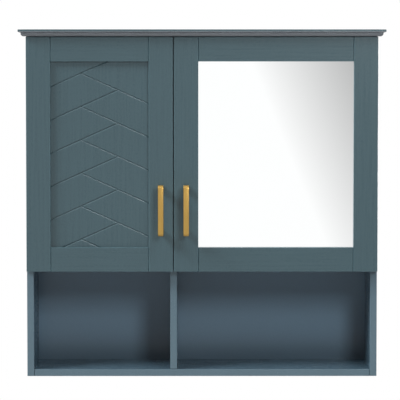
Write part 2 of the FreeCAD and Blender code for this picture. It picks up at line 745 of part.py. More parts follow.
def right_frame():
    """Right door frame: dowelled and rebated, with the mirror, its backing and four beads."""
    _, _, open_xs = frame_spans(RIGHT)
    places = frame_dowel_places(open_xs)
    share = DOWEL_LENGTH / 2
    holes = dowel_solids(places, share, DOWEL_R + FIT_CLEAR, DOWEL_END_GAP)
    low_x, high_x = min(open_xs) - REBATE_W, max(open_xs) + REBATE_W
    low_z, high_z = opening_zs[0] - REBATE_W, opening_zs[1] + REBATE_W
    rebate = block((low_x, high_x), (mirror_front_y, door_back_y), (low_z, high_z))
    hinge, lock = [stile.cut([rebate, *holes]) for stile in stiles(RIGHT)]
    top, bottom = [rail.cut([rebate, *holes]) for rail in rails(RIGHT)]
    pane_xs = (low_x + MIRROR_CLEAR, high_x - MIRROR_CLEAR)
    pane_zs = (low_z + MIRROR_CLEAR, high_z - MIRROR_CLEAR)
    bead_ys = (bead_front_y, door_back_y)
    inner_zs = (low_z + REBATE_W, high_z - REBATE_W)
    return {
        "right_hinge_stile": hinge,
        "right_lock_stile": lock,
        "right_top_rail": top,
        "right_bottom_rail": bottom,
        "right_frame_dowels": dowel_solids(places, share, DOWEL_R, 0),
        "mirror_pane": block(pane_xs, (mirror_front_y, backing_front_y), pane_zs),
        "mirror_backing": block(pane_xs, (backing_front_y, bead_front_y), pane_zs),
        "mirror_bead_left": block((low_x, low_x + REBATE_W), bead_ys, inner_zs),
        "mirror_bead_right": block((high_x - REBATE_W, high_x), bead_ys, inner_zs),
        "mirror_bead_top": block((low_x, high_x), bead_ys, (inner_zs[1], high_z)),
        "mirror_bead_bottom": block((low_x, high_x), bead_ys, (low_z, inner_zs[0])),
    }


def door_hardware(side):
    """Pull, hinge cups, pins, bumpers and strike plate that move with one door."""
    name = side_prefix(side)
    parts = {f"{name}_pull": pull(side), f"{name}_pull_screws": pull_screws(side)}
    for place, z in hinge_zs.items():
        parts[f"{name}_{place}_hinge_cup"] = hinge_cup(side, z)
    parts[f"{name}_cup_screws"] = [one for z in hinge_zs.values() for one in cup_screws(side, z)]
    parts[f"{name}_hinge_pins"] = [hinge_pin(side, z) for z in hinge_zs.values()]
    parts[f"{name}_bumpers"] = bumpers(side)
    parts[f"{name}_strike_plate"] = strike_plate(side)
    return parts


def carcass_hardware():
    """Hinge arms, plates, catches and their screws, which stay with the carcass."""
    parts = {"hinge_plate_screws": [], "hinge_arm_screws": [], "catch_screws": []}
    for side in (LEFT, RIGHT):
        name = side_prefix(side)
        plates = []
        for place, z in hinge_zs.items():
            parts[f"{name}_{place}_hinge_arm"] = hinge_arm(side, z)
            fixings = [*hinge_plate_screws(side, z), hinge_arm_screw(side, z)]
            plates.append(hinge_plate(side, z).cut(fixings))
            parts["hinge_plate_screws"] += hinge_plate_screws(side, z)
            parts["hinge_arm_screws"].append(hinge_arm_screw(side, z))
        parts[f"{name}_hinge_plates"] = plates
        parts[f"{name}_catch"] = catch(side)
        parts["catch_screws"] += catch_screws(side)
    return parts


def build():
    """Every node of the cabinet by name."""
    parts = carcass_parts()
    hardware = carcass_hardware()
    for side in (LEFT, RIGHT):
        upright = f"side_{side_prefix(side)}"
        parts[upright] = parts[upright].cut(hardware["hinge_plate_screws"])
    parts["top_panel"] = parts["top_panel"].cut(hardware["catch_screws"])
    parts.update(hardware)
    parts.update(left_frame())
    parts.update(right_frame())
    for side in (LEFT, RIGHT):
        parts.update(door_hardware(side))
    return parts


os.makedirs("parts", exist_ok=True)
for node, shape in build().items():
    solid = Part.makeCompound(shape) if isinstance(shape, list) else shape
    solid.exportStep(f"parts/{node}.step")
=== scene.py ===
"""Looks of a wall-hung medicine cabinet with a chevron door, a mirror door and gold bar pulls.

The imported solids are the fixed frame, in metres: +X to the right, +Y into the wall, +Z up.
"""

from __future__ import annotations

import logging
import math
from dataclasses import dataclass
from enum import Enum

import bmesh
import bpy
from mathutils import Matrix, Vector

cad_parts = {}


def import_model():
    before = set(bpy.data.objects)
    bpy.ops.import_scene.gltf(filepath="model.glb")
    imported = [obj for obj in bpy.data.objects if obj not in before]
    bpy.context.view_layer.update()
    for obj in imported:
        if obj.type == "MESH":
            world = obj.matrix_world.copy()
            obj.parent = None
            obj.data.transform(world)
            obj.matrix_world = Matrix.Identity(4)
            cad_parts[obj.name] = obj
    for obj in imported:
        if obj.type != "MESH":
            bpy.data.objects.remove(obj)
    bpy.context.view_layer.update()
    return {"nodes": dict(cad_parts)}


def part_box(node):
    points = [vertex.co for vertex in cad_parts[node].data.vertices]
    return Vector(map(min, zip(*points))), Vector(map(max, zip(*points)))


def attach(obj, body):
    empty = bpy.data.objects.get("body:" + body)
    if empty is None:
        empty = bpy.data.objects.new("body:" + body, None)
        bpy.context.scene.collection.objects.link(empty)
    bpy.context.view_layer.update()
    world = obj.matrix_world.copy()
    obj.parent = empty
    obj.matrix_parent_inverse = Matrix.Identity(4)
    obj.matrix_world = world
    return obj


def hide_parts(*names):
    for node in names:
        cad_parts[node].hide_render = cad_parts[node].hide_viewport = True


log = logging.getLogger("medicine_cabinet")

MM = 0.001
WELD = 0.001 * MM
Colour = tuple[float, float, float]
Triple = tuple[float, float, float]
WHITE = (1.0, 1.0, 1.0)


class Sock:
    """An output socket whose operators add Math nodes to its graph."""

    def __init__(self, graph: Graph, socket: bpy.types.NodeSocket) -> None:
        """Keep the socket and the graph that it belongs to."""
        self.graph = graph
        self.socket = socket

    def math(self, operation: str, *values: Sock | float) -> Sock:
        """Add a Math node that does an operation on its operands."""
        return self.graph.node("ShaderNodeMath", {"operation": operation}, dict(enumerate(values)))

    def __add__(self, other: Sock | float) -> Sock:
        """Sum."""
        return self.math("ADD", self, other)

    def __radd__(self, other: float) -> Sock:
        """Sum with a number in front."""
        return self.math("ADD", other, self)

    def __sub__(self, other: Sock | float) -> Sock:
        """Difference."""
        return self.math("SUBTRACT", self, other)

    def __rsub__(self, other: float) -> Sock:
        """Difference from a number."""
        return self.math("SUBTRACT", other, self)

    def __mul__(self, other: Sock | float) -> Sock:
        """Product."""
        return self.math("MULTIPLY", self, other)

    def __rmul__(self, other: float) -> Sock:
        """Product with a number in front."""
        return self.math("MULTIPLY", other, self)

    def __truediv__(self, other: Sock | float) -> Sock:
        """Quotient."""
        return self.math("DIVIDE", self, other)

    def __rtruediv__(self, other: float) -> Sock:
        """Quotient of a number."""
        return self.math("DIVIDE", other, self)

    def __pow__(self, other: Sock | float) -> Sock:
        """Power."""
        return self.math("POWER", self, other)

    def __gt__(self, other: Sock | float) -> Sock:
        """One where this value is greater, else zero."""
        return self.math("GREATER_THAN", self, other)

    def __lt__(self, other: Sock | float) -> Sock:
        """One where this value is less, else zero."""
        return self.math("LESS_THAN", self, other)


class Graph:
    """A node tree, with one method that adds any node and short ones for what recurs."""

    def __init__(self, tree: bpy.types.NodeTree) -> None:
        """Take over a tree and empty it.

        Args:
            tree: The tree of a material, a world or a geometry rule.
        """
        self.tree = tree
        self.tree.nodes.clear()
        self.identifiers: dict[str, str] = {}

    def node(
        self,
        kind: str,
        settings: dict[str, object] | None = None,
        inputs: dict[str | int, object] | None = None,
        output: str | int = 0,
    ) -> Sock:
        """Add a node, set it up and feed its sockets.

        Args:
            kind: The node's type name.
            settings: Properties that are set before the sockets are fed.
            inputs: Values, sockets or lists of sockets by the input's name or number.
            output: Name or number of the output that is wanted.

        Returns:
            The wanted output.
        """
        made = self.tree.nodes.new(kind)
        for name, value in (settings or {}).items():
            setattr(made, name, value)
        for key, value in (inputs or {}).items():
            for one in value if isinstance(value, list) else [value]:
                self.feed(made.inputs[key], one)
        return Sock(self, made.outputs[output]) if made.outputs else Sock(self, made.inputs[0])

    def feed(self, socket: bpy.types.NodeSocket, value: object) -> None:
        """Link a socket or set its value.

        Args:
            socket: The input that is fed.
            value: A socket to link, a colour, or a plain value.
        """
        if isinstance(value, Sock):
            self.tree.links.new(value.socket, socket)
        elif socket.type == "RGBA":
            socket.default_value = (*value, 1.0)
        else:
            socket.default_value = value

    def coords(self) -> Sock:
        """Object coordinates, which are the frame's own metres."""
        return self.node("ShaderNodeTexCoord", output="Object")

    def ray(self, kind: str) -> Sock:
        """One for rays of a kind, else zero."""
        return self.node("ShaderNodeLightPath", output=f"Is {kind} Ray")

    def axis(self, vector: Sock, name: str) -> Sock:
        """One coordinate of a vector."""
        return self.node("ShaderNodeSeparateXYZ", inputs={0: vector}, output=name)

    def vector(self, x: Sock | float = 0.0, y: Sock | float = 0.0, z: Sock | float = 0.0) -> Sock:
        """Make a vector of three values."""
        return self.node("ShaderNodeCombineXYZ", inputs={0: x, 1: y, 2: z})

    def noise(self, at: Sock, scale: float, detail: float = 2.0, stretch: Triple = (1.0, 1.0, 1.0)) -> Sock:
        """Add a noise.

        Args:
            at: Coordinates that it reads.
            scale: Features per metre.
            detail: Octaves.
            stretch: Scale of each axis, low where the features are drawn out.

        Returns:
            The noise, centred on zero.
        """
        drawn = self.node("ShaderNodeMapping", inputs={"Vector": at, "Scale": stretch})
        fed = {"Vector": drawn, "Scale": scale, "Detail": detail}
        return self.node("ShaderNodeTexNoise", {"normalize": True}, fed, "Fac") - 0.5

    def ramp(self, value: Sock, low: float, high: float, curve: str = "SMOOTHSTEP") -> Sock:
        """Rise from zero to one between two values, along a curve."""
        limits = {"Value": value, "From Min": low, "From Max": high}
        return self.node("ShaderNodeMapRange", {"interpolation_type": curve}, limits)

    def blend(self, factor: Sock, low: Sock | Colour, high: Sock | Colour) -> Sock:
        """Blend from one colour to another as a factor goes from zero to one."""
        return self.node("ShaderNodeMix", {"data_type": "RGBA"}, {0: factor, 6: low, 7: high}, 2)

    def tone(self, colour: Colour, change: Sock, swing: float) -> Sock:
        """Vary a colour's brightness.

        Args:
            colour: The middle colour.
            change: A value that is centred on zero.
            swing: Relative change of brightness for a value of one half.

        Returns:
            The varied colour.
        """
        low = tuple(part * (1.0 - swing) for part in colour)
        high = tuple(part * (1.0 + swing) for part in colour)
        return self.blend(change + 0.5, low, high)

    def bump(self, height: Sock, depth: float, strength: float = 0.5) -> Sock:
        """Turn a height, of which one is a depth in metres, into a surface normal."""
        return self.node("ShaderNodeBump", inputs={"Height": height, "Distance": depth, "Strength": strength})

    def surface(self, sockets: dict[str, object]) -> None:
        """Add the surface shader, with its sockets by name, and the output."""
        shader = self.node("ShaderNodeBsdfPrincipled", inputs=sockets)
        self.node("ShaderNodeOutputMaterial", inputs={"Surface": shader})

    def glow(self, mask: Sock, under: Sock, colour: Sock | Colour) -> None:
        """Show a plain glow in place of a shader, and add the output.

        Args:
            mask: One where the glow shows.
            under: Shader that shows elsewhere.
            colour: Colour of the glow.
        """
        light = self.node("ShaderNodeEmission", inputs={"Color": colour, "Strength": 1.0})
        shader = self.node("ShaderNodeMixShader", inputs={0: mask, 1: under, 2: light})
        self.node("ShaderNodeOutputMaterial", inputs={"Surface": shader})

    def inputs(self, kind: str, *names: str) -> list[Sock]:
        """Add named inputs to a geometry tree.

        Args:
            kind: Type of their sockets.
            names: Names of the inputs.

        Returns:
            The inputs as sockets of group input nodes.
        """
        for name in names:
            made = self.tree.interface.new_socket(name=name, in_out="INPUT", socket_type=f"NodeSocket{kind}")
            self.identifiers[name] = made.identifier
        return [self.node("NodeGroupInput", output=name) for name in names]

    def moved(self, geometry: Sock, offset: Sock | Triple) -> Sock:
        """Move a geometry."""
        return self.node("GeometryNodeTransform", inputs={"Geometry": geometry, "Translation": offset})

    def joined(self, parts: list[Sock]) -> Sock:
        """Join geometries into one."""
        return self.node("GeometryNodeJoinGeometry", inputs={"Geometry": parts})

    def row(self, count: Sock, start: Sock | Triple, step: Sock) -> Sock:
        """Points in a row, a step apart."""
        fed = {"Count": count, "Start Location": start, "Offset": step}
        return self.node("GeometryNodeMeshLine", {"mode": "OFFSET"}, fed)

    def welded(self, geometry: Sock, distance: float) -> Sock:
        """Merge the points of a mesh that are closer than a distance."""
        return self.node("GeometryNodeMergeByDistance", inputs={"Geometry": geometry, "Distance": distance})

    def cut(self, body: Sock, cutters: Sock | list[Sock]) -> Sock:
        """Cut other meshes out of a mesh."""
        meshes = {"Mesh 1": body, "Mesh 2": cutters, "Self Intersection": True}
        return self.node("GeometryNodeMeshBoolean", {"operation": "DIFFERENCE", "solver": "EXACT"}, meshes)

    def aim(self) -> Sock:
        """Rotation that turns Z to the way that each point faces."""
        way = self.node("GeometryNodeInputNamedAttribute", {"data_type": "FLOAT_VECTOR"}, {"Name": "facing"})
        return self.node("FunctionNodeAlignRotationToVector", {"axis": "Z"}, {"Vector": way})

    def copies(self, points: Sock, shape: Sock, turn: Sock, size: Sock | Triple = (1.0, 1.0, 1.0)) -> Sock:
        """Put a turned and sized copy of a shape on every point."""
        fed = {"Points": points, "Instance": shape, "Rotation": turn, "Scale": size}
        return self.node("GeometryNodeInstanceOnPoints", inputs=fed)

    def turned(self, stations: list[tuple[Sock | float, Sock | float]], sides: int) -> Sock:
        """A closed shape turned round Z.

        Args:
            stations: Height and radius of each ring from the foot up, starting and ending on the axis.
            sides: Sides of a ring.

        Returns:
            The shape, welded at its rings.
        """
        bands = []
        for (low, foot), (high, head) in zip(stations, stations[1:]):
            sizes = {"Vertices": sides, "Radius Bottom": foot, "Radius Top": head, "Depth": high - low}
            band = self.node("GeometryNodeMeshCone", {"fill_type": "NONE"}, sizes)
            bands.append(self.moved(band, self.vector(z=low)))
        return self.welded(self.joined(bands), WELD)

    def result(self, geometry: Sock, finish: Finish) -> None:
        """End a geometry tree.

        Args:
            geometry: What the tree makes, instances included.
            finish: Finish that it gets.
        """
        self.tree.interface.new_socket(name="Geometry", in_out="OUTPUT", socket_type="NodeSocketGeometry")
        real = self.node("GeometryNodeRealizeInstances", inputs={"Geometry": geometry})
        coat = {"Geometry": real, "Material": finish.material()}
        self.node("NodeGroupOutput", inputs={"Geometry": self.node("GeometryNodeSetMaterial", inputs=coat)})

    def mesh(self, source: bpy.types.Mesh, name: str, values: dict[str, object]) -> bpy.types.Object:
        """Run a geometry tree on a mesh and keep the result as a plain mesh.

        Args:
            source: Mesh that the tree starts from.
            name: Name of the piece.
            values: Values of the tree's named inputs.

        Returns:
            The piece, at the origin, with no modifier.
        """
        piece = bpy.data.objects.new(name, source)
        bpy.context.scene.collection.objects.link(piece)
        modifier = piece.modifiers.new("rule", "NODES")
        modifier.node_group = self.tree
        for key, value in values.items():
            modifier[self.identifiers[key]] = value
        bpy.context.view_layer.update()
        evaluated = piece.evaluated_get(bpy.context.evaluated_depsgraph_get())
        made = bpy.data.meshes.new_from_object(evaluated)
        piece.modifiers.remove(modifier)
        piece.data = made
        return piece


def rule(name: str) -> Graph:
    """A new geometry tree."""
    return Graph(bpy.data.node_groups.new(f"{name}_rule", "GeometryNodeTree"))


class Grain(Enum):
    """Direction of the wood grain under the paint, as the scale of each axis."""

    UPRIGHT = (1.0, 1.0, 0.035)
    LEVEL = (0.035, 1.0, 1.0)


STREAK_SCALE = 260.0
FINE_SCALE = 900.0
CLOUD_SCALE = 9.0
PEEL_SCALE = 1300.0
ROLLER_SCALE = 700.0
NO_SLOT = ""


@dataclass(frozen=True)
class Finish:
    """A finish, with the name of the record's slot that it belongs to."""

    name: str
    slot: str

    def material(self) -> bpy.types.Material:
        """Find the finish's material, or make it on first use.

        Returns:
            The material.
        """
        known = bpy.data.materials.get(self.name)
        if known is not None:
            return known
        made = bpy.data.materials.new(self.name)
        made.use_nodes = True
        self.build(Graph(made.node_tree))
        return made

    def build(self, g: Graph) -> None:
        """Build the material's nodes."""
        raise NotImplementedError


@dataclass(frozen=True)
class GrainedPaint(Finish):
    """Satin paint over wood, with the grain as faint streaks and pores, and a painted highlight that makes
    the eased edges paler.
    """

    colour: Colour
    grain: Grain
    wear: float
    roughness: float = 0.28
    sheen: float = 0.5
    swing: float = 0.07
    depth: float = 0.05 * MM
    flatness: float = 0.97

    def build(self, g: Graph) -> None:
        """Build the material's nodes.

        Args:
            g: The material's graph.
        """
        at = g.coords()
        streaks = g.noise(at, STREAK_SCALE, 2.0, self.grain.value)
        pores = g.noise(at, FINE_SCALE, 3.0, self.grain.value)
        clouds = g.noise(at, CLOUD_SCALE)
        peel = g.noise(at, PEEL_SCALE, 1.0)
        change = streaks * 0.7 + pores * 0.5 + clouds * 0.5
        coat = g.tone(self.colour, change, self.swing)
        # paler copy of the paint for the eased edges: a painted highlight
        rubbed = g.tone(tuple(part * (1.0 + self.wear) for part in self.colour), change, self.swing)
        g.surface(
            {
                "Base Color": g.blend(self.eased(g) * (clouds + 0.8), coat, rubbed),
                "Roughness": self.roughness + streaks * 0.03 + peel * 0.06,
                "Specular IOR Level": self.sheen,
                "Normal": g.bump(pores * 0.7 + peel * 0.4, self.depth),
            }
        )

    def eased(self, g: Graph) -> Sock:
        """Tell eased edges from flat faces, whose normals lie along an axis.

        Args:
            g: The material's graph.

        Returns:
            One on the rounded edges, else zero.
        """
        normal = g.node("ShaderNodeTexCoord", output="Normal")
        x, y, z = (g.axis(normal, name) ** 4.0 for name in "XYZ")
        return x + y + z < self.flatness


@dataclass(frozen=True)
class MouldingPaint(Finish):
    """Satin paint on the crown, with painted light making the moulding under the band along its top paler, in
    place of light from below on its downward faces.
    """

    colour: Colour
    rubbed: Colour
    band: float
    blur: float = 0.5 * MM
    waver: float = 0.1 * MM
    roughness: float = 0.28
    sheen: float = 0.5
    swing: float = 0.16
    rubbed_swing: float = 0.1
    depth: float = 0.08 * MM

    def build(self, g: Graph) -> None:
        """Build the material's nodes.

        Args:
            g: The material's graph.
        """
        at = g.coords()
        streaks = g.noise(at, STREAK_SCALE, 2.0, Grain.LEVEL.value)
        peel = g.noise(at, PEEL_SCALE, 1.0)
        height = g.axis(at, "Z") + streaks * self.waver
        # under the top band the moulding gets a paler colour: painted light from below
        top = g.ramp(height, self.band - self.blur, self.band + self.blur, "LINEAR")
        painted = g.tone(self.colour, streaks, self.swing)
        pale = g.tone(self.rubbed, streaks + peel * 0.5, self.rubbed_swing)
        g.surface(
            {
                "Base Color": g.blend(top, pale, painted),
                "Roughness": self.roughness + streaks * 0.14 + peel * 0.1,
                "Specular IOR Level": self.sheen,
                "Normal": g.bump(peel, self.depth),
            }
        )


@dataclass(frozen=True)
class BoardPaint(Finish):
    """Satin paint rolled on smooth board, paler on what shows outside and darker on the inner faces, partly a
    paler outer coat and partly painted shade inside the niches.
    """

    colour: Colour
    outer: Colour
    front: float
    half_width: float
    bottom: float
    margin: float = 0.3 * MM
    front_margin: float = 0.8 * MM
    cloud_scale: float = 11.0
    roughness: float = 0.26
    sheen: float = 0.5
    swing: float = 0.08
    depth: float = 0.12 * MM

    def build(self, g: Graph) -> None:
        """Build the material's nodes.

        Args:
            g: The material's graph.
        """
        at = g.coords()
        x, y, z = (g.axis(at, name) for name in "XYZ")
        flank = x.math("ABSOLUTE", x) > self.half_width - self.margin
        shown = flank + (y < self.front + self.front_margin) + (z < self.bottom + self.margin)
        peel = g.noise(at, ROLLER_SCALE)
        clouds = g.noise(at, self.cloud_scale, 3.0)
        change = clouds * 0.7 + peel * 0.3
        # the inner colour is darker: painted shade inside the niches
        shaded_inside, outside = (g.tone(coat, change, self.swing) for coat in (self.colour, self.outer))
        g.surface(
            {
                "Base Color": g.blend(shown.math("MINIMUM", shown, 1.0), shaded_inside, outside),
                "Roughness": self.roughness + peel * 0.12 + clouds * 0.06,
                "Specular IOR Level": self.sheen,
                "Normal": g.bump(peel, self.depth, 0.4),
            }
        )


@dataclass(frozen=True)
class BackPaint(Finish):
    """Paint on the front of a pressed board, darkened by painted shade towards its foot, whose rear face is
    left bare.
    """

    colour: Colour
    bare: Colour
    rear: float
    foot: float
    dulled: float = 0.54
    fade: float = 56.0 * MM
    margin: float = 0.4 * MM
    fibre_scale: float = 420.0
    roughness: float = 0.2
    sheen: float = 0.35
    swing: float = 0.07
    bare_swing: float = 0.4
    depth: float = 0.12 * MM

    def build(self, g: Graph) -> None:
        """Build the material's nodes.

        Args:
            g: The material's graph.
        """
        at = g.coords()
        bare = g.axis(at, "Y") > self.rear - self.margin
        peel = g.noise(at, ROLLER_SCALE)
        fibres = g.noise(at, self.fibre_scale, 4.0)
        # painted shade: the paint darkens over the fade height towards the foot of the back
        clean = g.ramp(g.axis(at, "Z"), self.foot, self.foot + self.fade)
        dull = tuple(part * self.dulled for part in self.colour)
        painted = g.blend(clean, g.tone(dull, peel, self.swing), g.tone(self.colour, peel, self.swing))
        pressed = g.tone(self.bare, fibres, self.bare_swing)
        g.surface(
            {
                "Base Color": g.blend(bare, painted, pressed),
                "Roughness": self.roughness + bare * 0.5 + peel * 0.05,
                "Specular IOR Level": self.sheen,
                "Normal": g.bump(peel + fibres * bare, self.depth),
            }
        )


@dataclass(frozen=True)
class PressedBoard(Finish):
    """Bare pressed board with fibres and darker specks."""

    colour: Colour
    fibre_scale: float = 480.0
    fineness: float = 2.6
    roughness: float = 0.72
    sheen: float = 0.25
    swing: float = 0.38
    depth: float = 0.16 * MM

    def build(self, g: Graph) -> None:
        """Build the material's nodes.

        Args:
            g: The material's graph.
        """
        at = g.coords()
        fibres = g.noise(at, self.fibre_scale, 4.0, (0.45, 1.0, 1.0))
        specks = g.noise(at, self.fibre_scale * self.fineness)
        g.surface(
            {
                "Base Color": g.tone(self.colour, fibres * 0.9 + specks * 0.6, self.swing),
                "Roughness": self.roughness + fibres * 0.2,
                "Specular IOR Level": self.sheen,
                "Normal": g.bump(fibres + specks * 0.5, self.depth),
            }
        )


@dataclass(frozen=True)
class TurnedBeech(Finish):
    """Bare beech with short flecks along the dowels."""

    colour: Colour
    roughness: float = 0.6
    sheen: float = 0.3
    swing: float = 0.3
    depth: float = 0.1 * MM

    def build(self, g: Graph) -> None:
        """Build the material's nodes.

        Args:
            g: The material's graph.
        """
        flecks = g.noise(g.coords(), FINE_SCALE, 3.0, (0.25, 1.0, 0.6))
        g.surface(
            {
                "Base Color": g.tone(self.colour, flecks, self.swing),
                "Roughness": self.roughness + flecks * 0.2,
                "Specular IOR Level": self.sheen,
                "Normal": g.bump(flecks, self.depth),
            }
        )


@dataclass(frozen=True)
class BrushedGold(Finish):
    """Gold plating brushed along the bar."""

    colour: Colour
    line_scale: float = 4200.0
    cloud_scale: float = 60.0
    roughness: float = 0.36
    swing: float = 0.12
    depth: float = 0.02 * MM

    def build(self, g: Graph) -> None:
        """Build the material's nodes.

        Args:
            g: The material's graph.
        """
        at = g.coords()
        lines = g.noise(at, self.line_scale, 2.0, (1.0, 1.0, 0.02))
        clouds = g.noise(at, self.cloud_scale)
        g.surface(
            {
                "Base Color": g.tone(self.colour, lines * 0.8 + clouds * 0.6, self.swing),
                "Metallic": 1.0,
                "Roughness": self.roughness + lines * 0.16 + clouds * 0.08,
                "Normal": g.bump(lines, self.depth),
            }
        )


@dataclass(frozen=True)
class SilveredGlass(Finish):
    """Silvered glass with the faintest haze left by wiping."""

    colour: Colour
    wipe_scale: float = 14.0
    haze: float = 0.012
    swing: float = 0.006

    def build(self, g: Graph) -> None:
        """Build the material's nodes.

        Args:
            g: The material's graph.
        """
        wiped = g.noise(g.coords(), self.wipe_scale, 3.0, (1.0, 1.0, 0.5))
        g.surface(
            {
                "Base Color": g.tone(self.colour, wiped, self.swing),
                "Metallic": 1.0,
                "Roughness": self.haze + wiped * self.haze,
            }
        )


@dataclass(frozen=True)
class PlatedSteel(Finish):
    """Plated steel with tumbling marks and dull patches."""

    colour: Colour
    roughness: float = 0.28
    mark_scale: float = 1600.0
    patch_scale: float = 130.0
    swing: float = 0.14
    depth: float = 0.02 * MM

    def build(self, g: Graph) -> None:
        """Build the material's nodes.

        Args:
            g: The material's graph.
        """
        at = g.coords()
        marks = g.noise(at, self.mark_scale, 3.0)
        dull = g.noise(at, self.patch_scale)
        g.surface(
            {
                "Base Color": g.tone(self.colour, dull + marks * 0.5, self.swing),
                "Metallic": 1.0,
                "Roughness": self.roughness + dull * 0.22 + marks * 0.08,
                "Normal": g.bump(marks, self.depth),
            }
        )


@dataclass(frozen=True)
class SoftPad(Finish):
    """Clear soft plastic of the bumpers."""

    colour: Colour
    roughness: float = 0.3
    clearness: float = 0.5
    refraction: float = 1.45
    swing: float = 0.06

    def build(self, g: Graph) -> None:
        """Build the material's nodes.

        Args:
            g: The material's graph.
        """
        dust = g.noise(g.coords(), FINE_SCALE)
        g.surface(
            {
                "Base Color": g.tone(self.colour, dust, self.swing),
                "Roughness": self.roughness + dust * 0.2,
                "Transmission Weight": self.clearness,
                "IOR": self.refraction,
            }
        )


@dataclass(frozen=True)
class CatchBody(Finish):
    """Moulded plastic of a catch, with steel where the poles stand out of its front."""

    colour: Colour
    steel: Colour
    front: float
    margin: float = 0.05 * MM
    texture_scale: float = 1500.0
    roughness: float = 0.5
    sheen: float = 0.4
    swing: float = 0.07
    steel_swing: float = 0.16
    depth: float = 0.05 * MM

    def build(self, g: Graph) -> None:
        """Build the material's nodes.

        Args:
            g: The material's graph.
        """
        at = g.coords()
        pole = g.axis(at, "Y") < self.front - self.margin
        texture = g.noise(at, self.texture_scale)
        moulded = g.tone(self.colour, texture, self.swing)
        bare = g.tone(self.steel, texture, self.steel_swing)
        g.surface(
            {
                "Base Color": g.blend(pole, moulded, bare),
                "Metallic": pole,
                "Roughness": self.roughness - pole * 0.16 + texture * 0.12,
                "Specular IOR Level": self.sheen,
                "Normal": g.bump(texture, self.depth),
            }
        )


@dataclass(frozen=True)
class FloorPaint(Finish):
    """Pale floor that takes the cabinet's shadow and fades to white at its rim."""

    colour: Colour
    bounce: Colour
    radius: float
    fade: tuple[float, float] = (0.45, 0.98)
    cloud_scale: float = 30.0
    roughness: float = 0.85

    def build(self, g: Graph) -> None:
        """Build the material's nodes.

        Args:
            g: The material's graph.
        """
        at = g.coords()
        x, y = g.axis(at, "X"), g.axis(at, "Y")
        rim = g.ramp((x * x + y * y) ** 0.5 / self.radius, *self.fade)
        camera, glossy, clear = (g.ray(kind) for kind in ("Camera", "Glossy", "Transmission"))
        tint = g.blend(camera, self.bounce, self.colour)
        matt = self.roughness + g.noise(at, self.cloud_scale, 3.0) * 0.1
        floor = g.node("ShaderNodeBsdfPrincipled", inputs={"Base Color": tint, "Roughness": matt})
        g.glow(rim * camera + glossy + clear, floor, WHITE)


@dataclass(frozen=True)
class FadeCard(Finish):
    """Card that reflections show as white, with a grey fade past a slanting edge."""

    edge: Triple
    fade: float
    white: float
    gamma: float = 2.2

    def build(self, g: Graph) -> None:
        """Build the material's nodes.

        Args:
            g: The material's graph.
        """
        at = g.coords()
        start, level, slant = self.edge
        past = g.axis(at, "X") - start + (g.axis(at, "Z") - level) * slant
        shade = (1.0 - past.math("MAXIMUM", past, 0.0) * self.fade) ** self.gamma * self.white
        tint = g.node("ShaderNodeCombineColor", inputs={0: shade, 1: shade, 2: shade})
        g.glow(g.ray("Glossy"), g.node("ShaderNodeBsdfTransparent"), tint)


DOOR_COLOUR = (0.049, 0.0935, 0.111)
# the inner board colour is darker than the back panel and the outer faces: painted shade inside the niches
CARCASS_COLOUR = (0.148, 0.238, 0.318)
OUTER_COLOUR = (0.103, 0.165, 0.205)
SHADED_INNER_COLOUR = (0.071, 0.126, 0.168)
# paler colour of the crown moulding: painted light from below
PAINTED_LIGHT_COLOUR = (0.178, 0.196, 0.22)
BARE_COLOUR = (0.3, 0.19, 0.105)
STEEL_COLOUR = (0.62, 0.62, 0.63)
CATCH_COLOUR = (0.72, 0.72, 0.7)
# brightening of the eased door-frame edges: a painted highlight
EDGE_HIGHLIGHT = 0.9

STILE_PAINT = GrainedPaint("paint_on_stiles", "door_paint", DOOR_COLOUR, Grain.UPRIGHT, EDGE_HIGHLIGHT)
RAIL_PAINT = GrainedPaint("paint_on_rails", "door_paint", DOOR_COLOUR, Grain.LEVEL, EDGE_HIGHLIGHT)
PANEL_PAINT = GrainedPaint("paint_on_chevron_panel", "door_paint", DOOR_COLOUR, Grain.UPRIGHT, 0.0)
CLEAT_BOARD = PressedBoard("bare_cleats", "bare_board", (0.45, 0.32, 0.2))
BACKING_BOARD = PressedBoard("mirror_backing_board", "hardboard", (0.28, 0.17, 0.09), 620.0)
BEECH = TurnedBeech("beech_dowels", "beech_dowel", (0.62, 0.45, 0.28))
GOLD = BrushedGold("brushed_gold_plating", "brushed_gold", (0.42, 0.265, 0.075))
MIRROR = SilveredGlass("silvered_pane", "silvered_glass", (0.96, 0.97, 0.97))
NICKEL = PlatedSteel("nickel_plating", "nickel_hinge", (0.6, 0.6, 0.58))
ZINC = PlatedSteel("zinc_plating", "zinc_screw", STEEL_COLOUR, 0.34)
PAD = SoftPad("bumper_pad", "clear_rubber", (0.86, 0.88, 0.88))

REARWARD = Vector((0.0, 1.0, 0.0))
DOWNWARD = Vector((0.0, 0.0, -1.0))
HEAD_SIDES = 28
SHANK_SIDES = 12


def dress(nodes: dict[str, bpy.types.Object], names: list[str], finish: Finish) -> None:
    """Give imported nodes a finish.

    Args:
        nodes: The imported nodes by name.
        names: Names of the nodes.
        finish: Finish that they get.
    """
    for name in names:
        for slot in nodes[name].material_slots:
            slot.material = finish.material()
        log.info("%s wears %s", name, finish.name)


def adopt(piece: bpy.types.Object, body: str, replaced: tuple[str, ...] = ()) -> None:
    """Hand a finished piece to the frame.

    Args:
        piece: The piece, with its place in its mesh.
        body: Body that it rides on.
        replaced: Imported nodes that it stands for.
    """
    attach(piece, body)
    if replaced:
        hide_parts(*replaced)
    log.info("%s rides on %s, %d faces", piece.name, body, len(piece.data.polygons))


def mesh_piece(name: str, bm: bmesh.types.BMesh, finish: Finish) -> bpy.types.Object:
    """Turn a bmesh into a piece.

    Args:
        name: Name of the piece.
        bm: Its geometry, which is freed.
        finish: Finish that it gets.

    Returns:
        The piece, at the origin.
    """
    bmesh.ops.recalc_face_normals(bm, faces=bm.faces)
    mesh = bpy.data.meshes.new(name)
    bm.to_mesh(mesh)
    bm.free()
    mesh.materials.append(finish.material())
    piece = bpy.data.objects.new(name, mesh)
    bpy.context.scene.collection.objects.link(piece)
    return piece


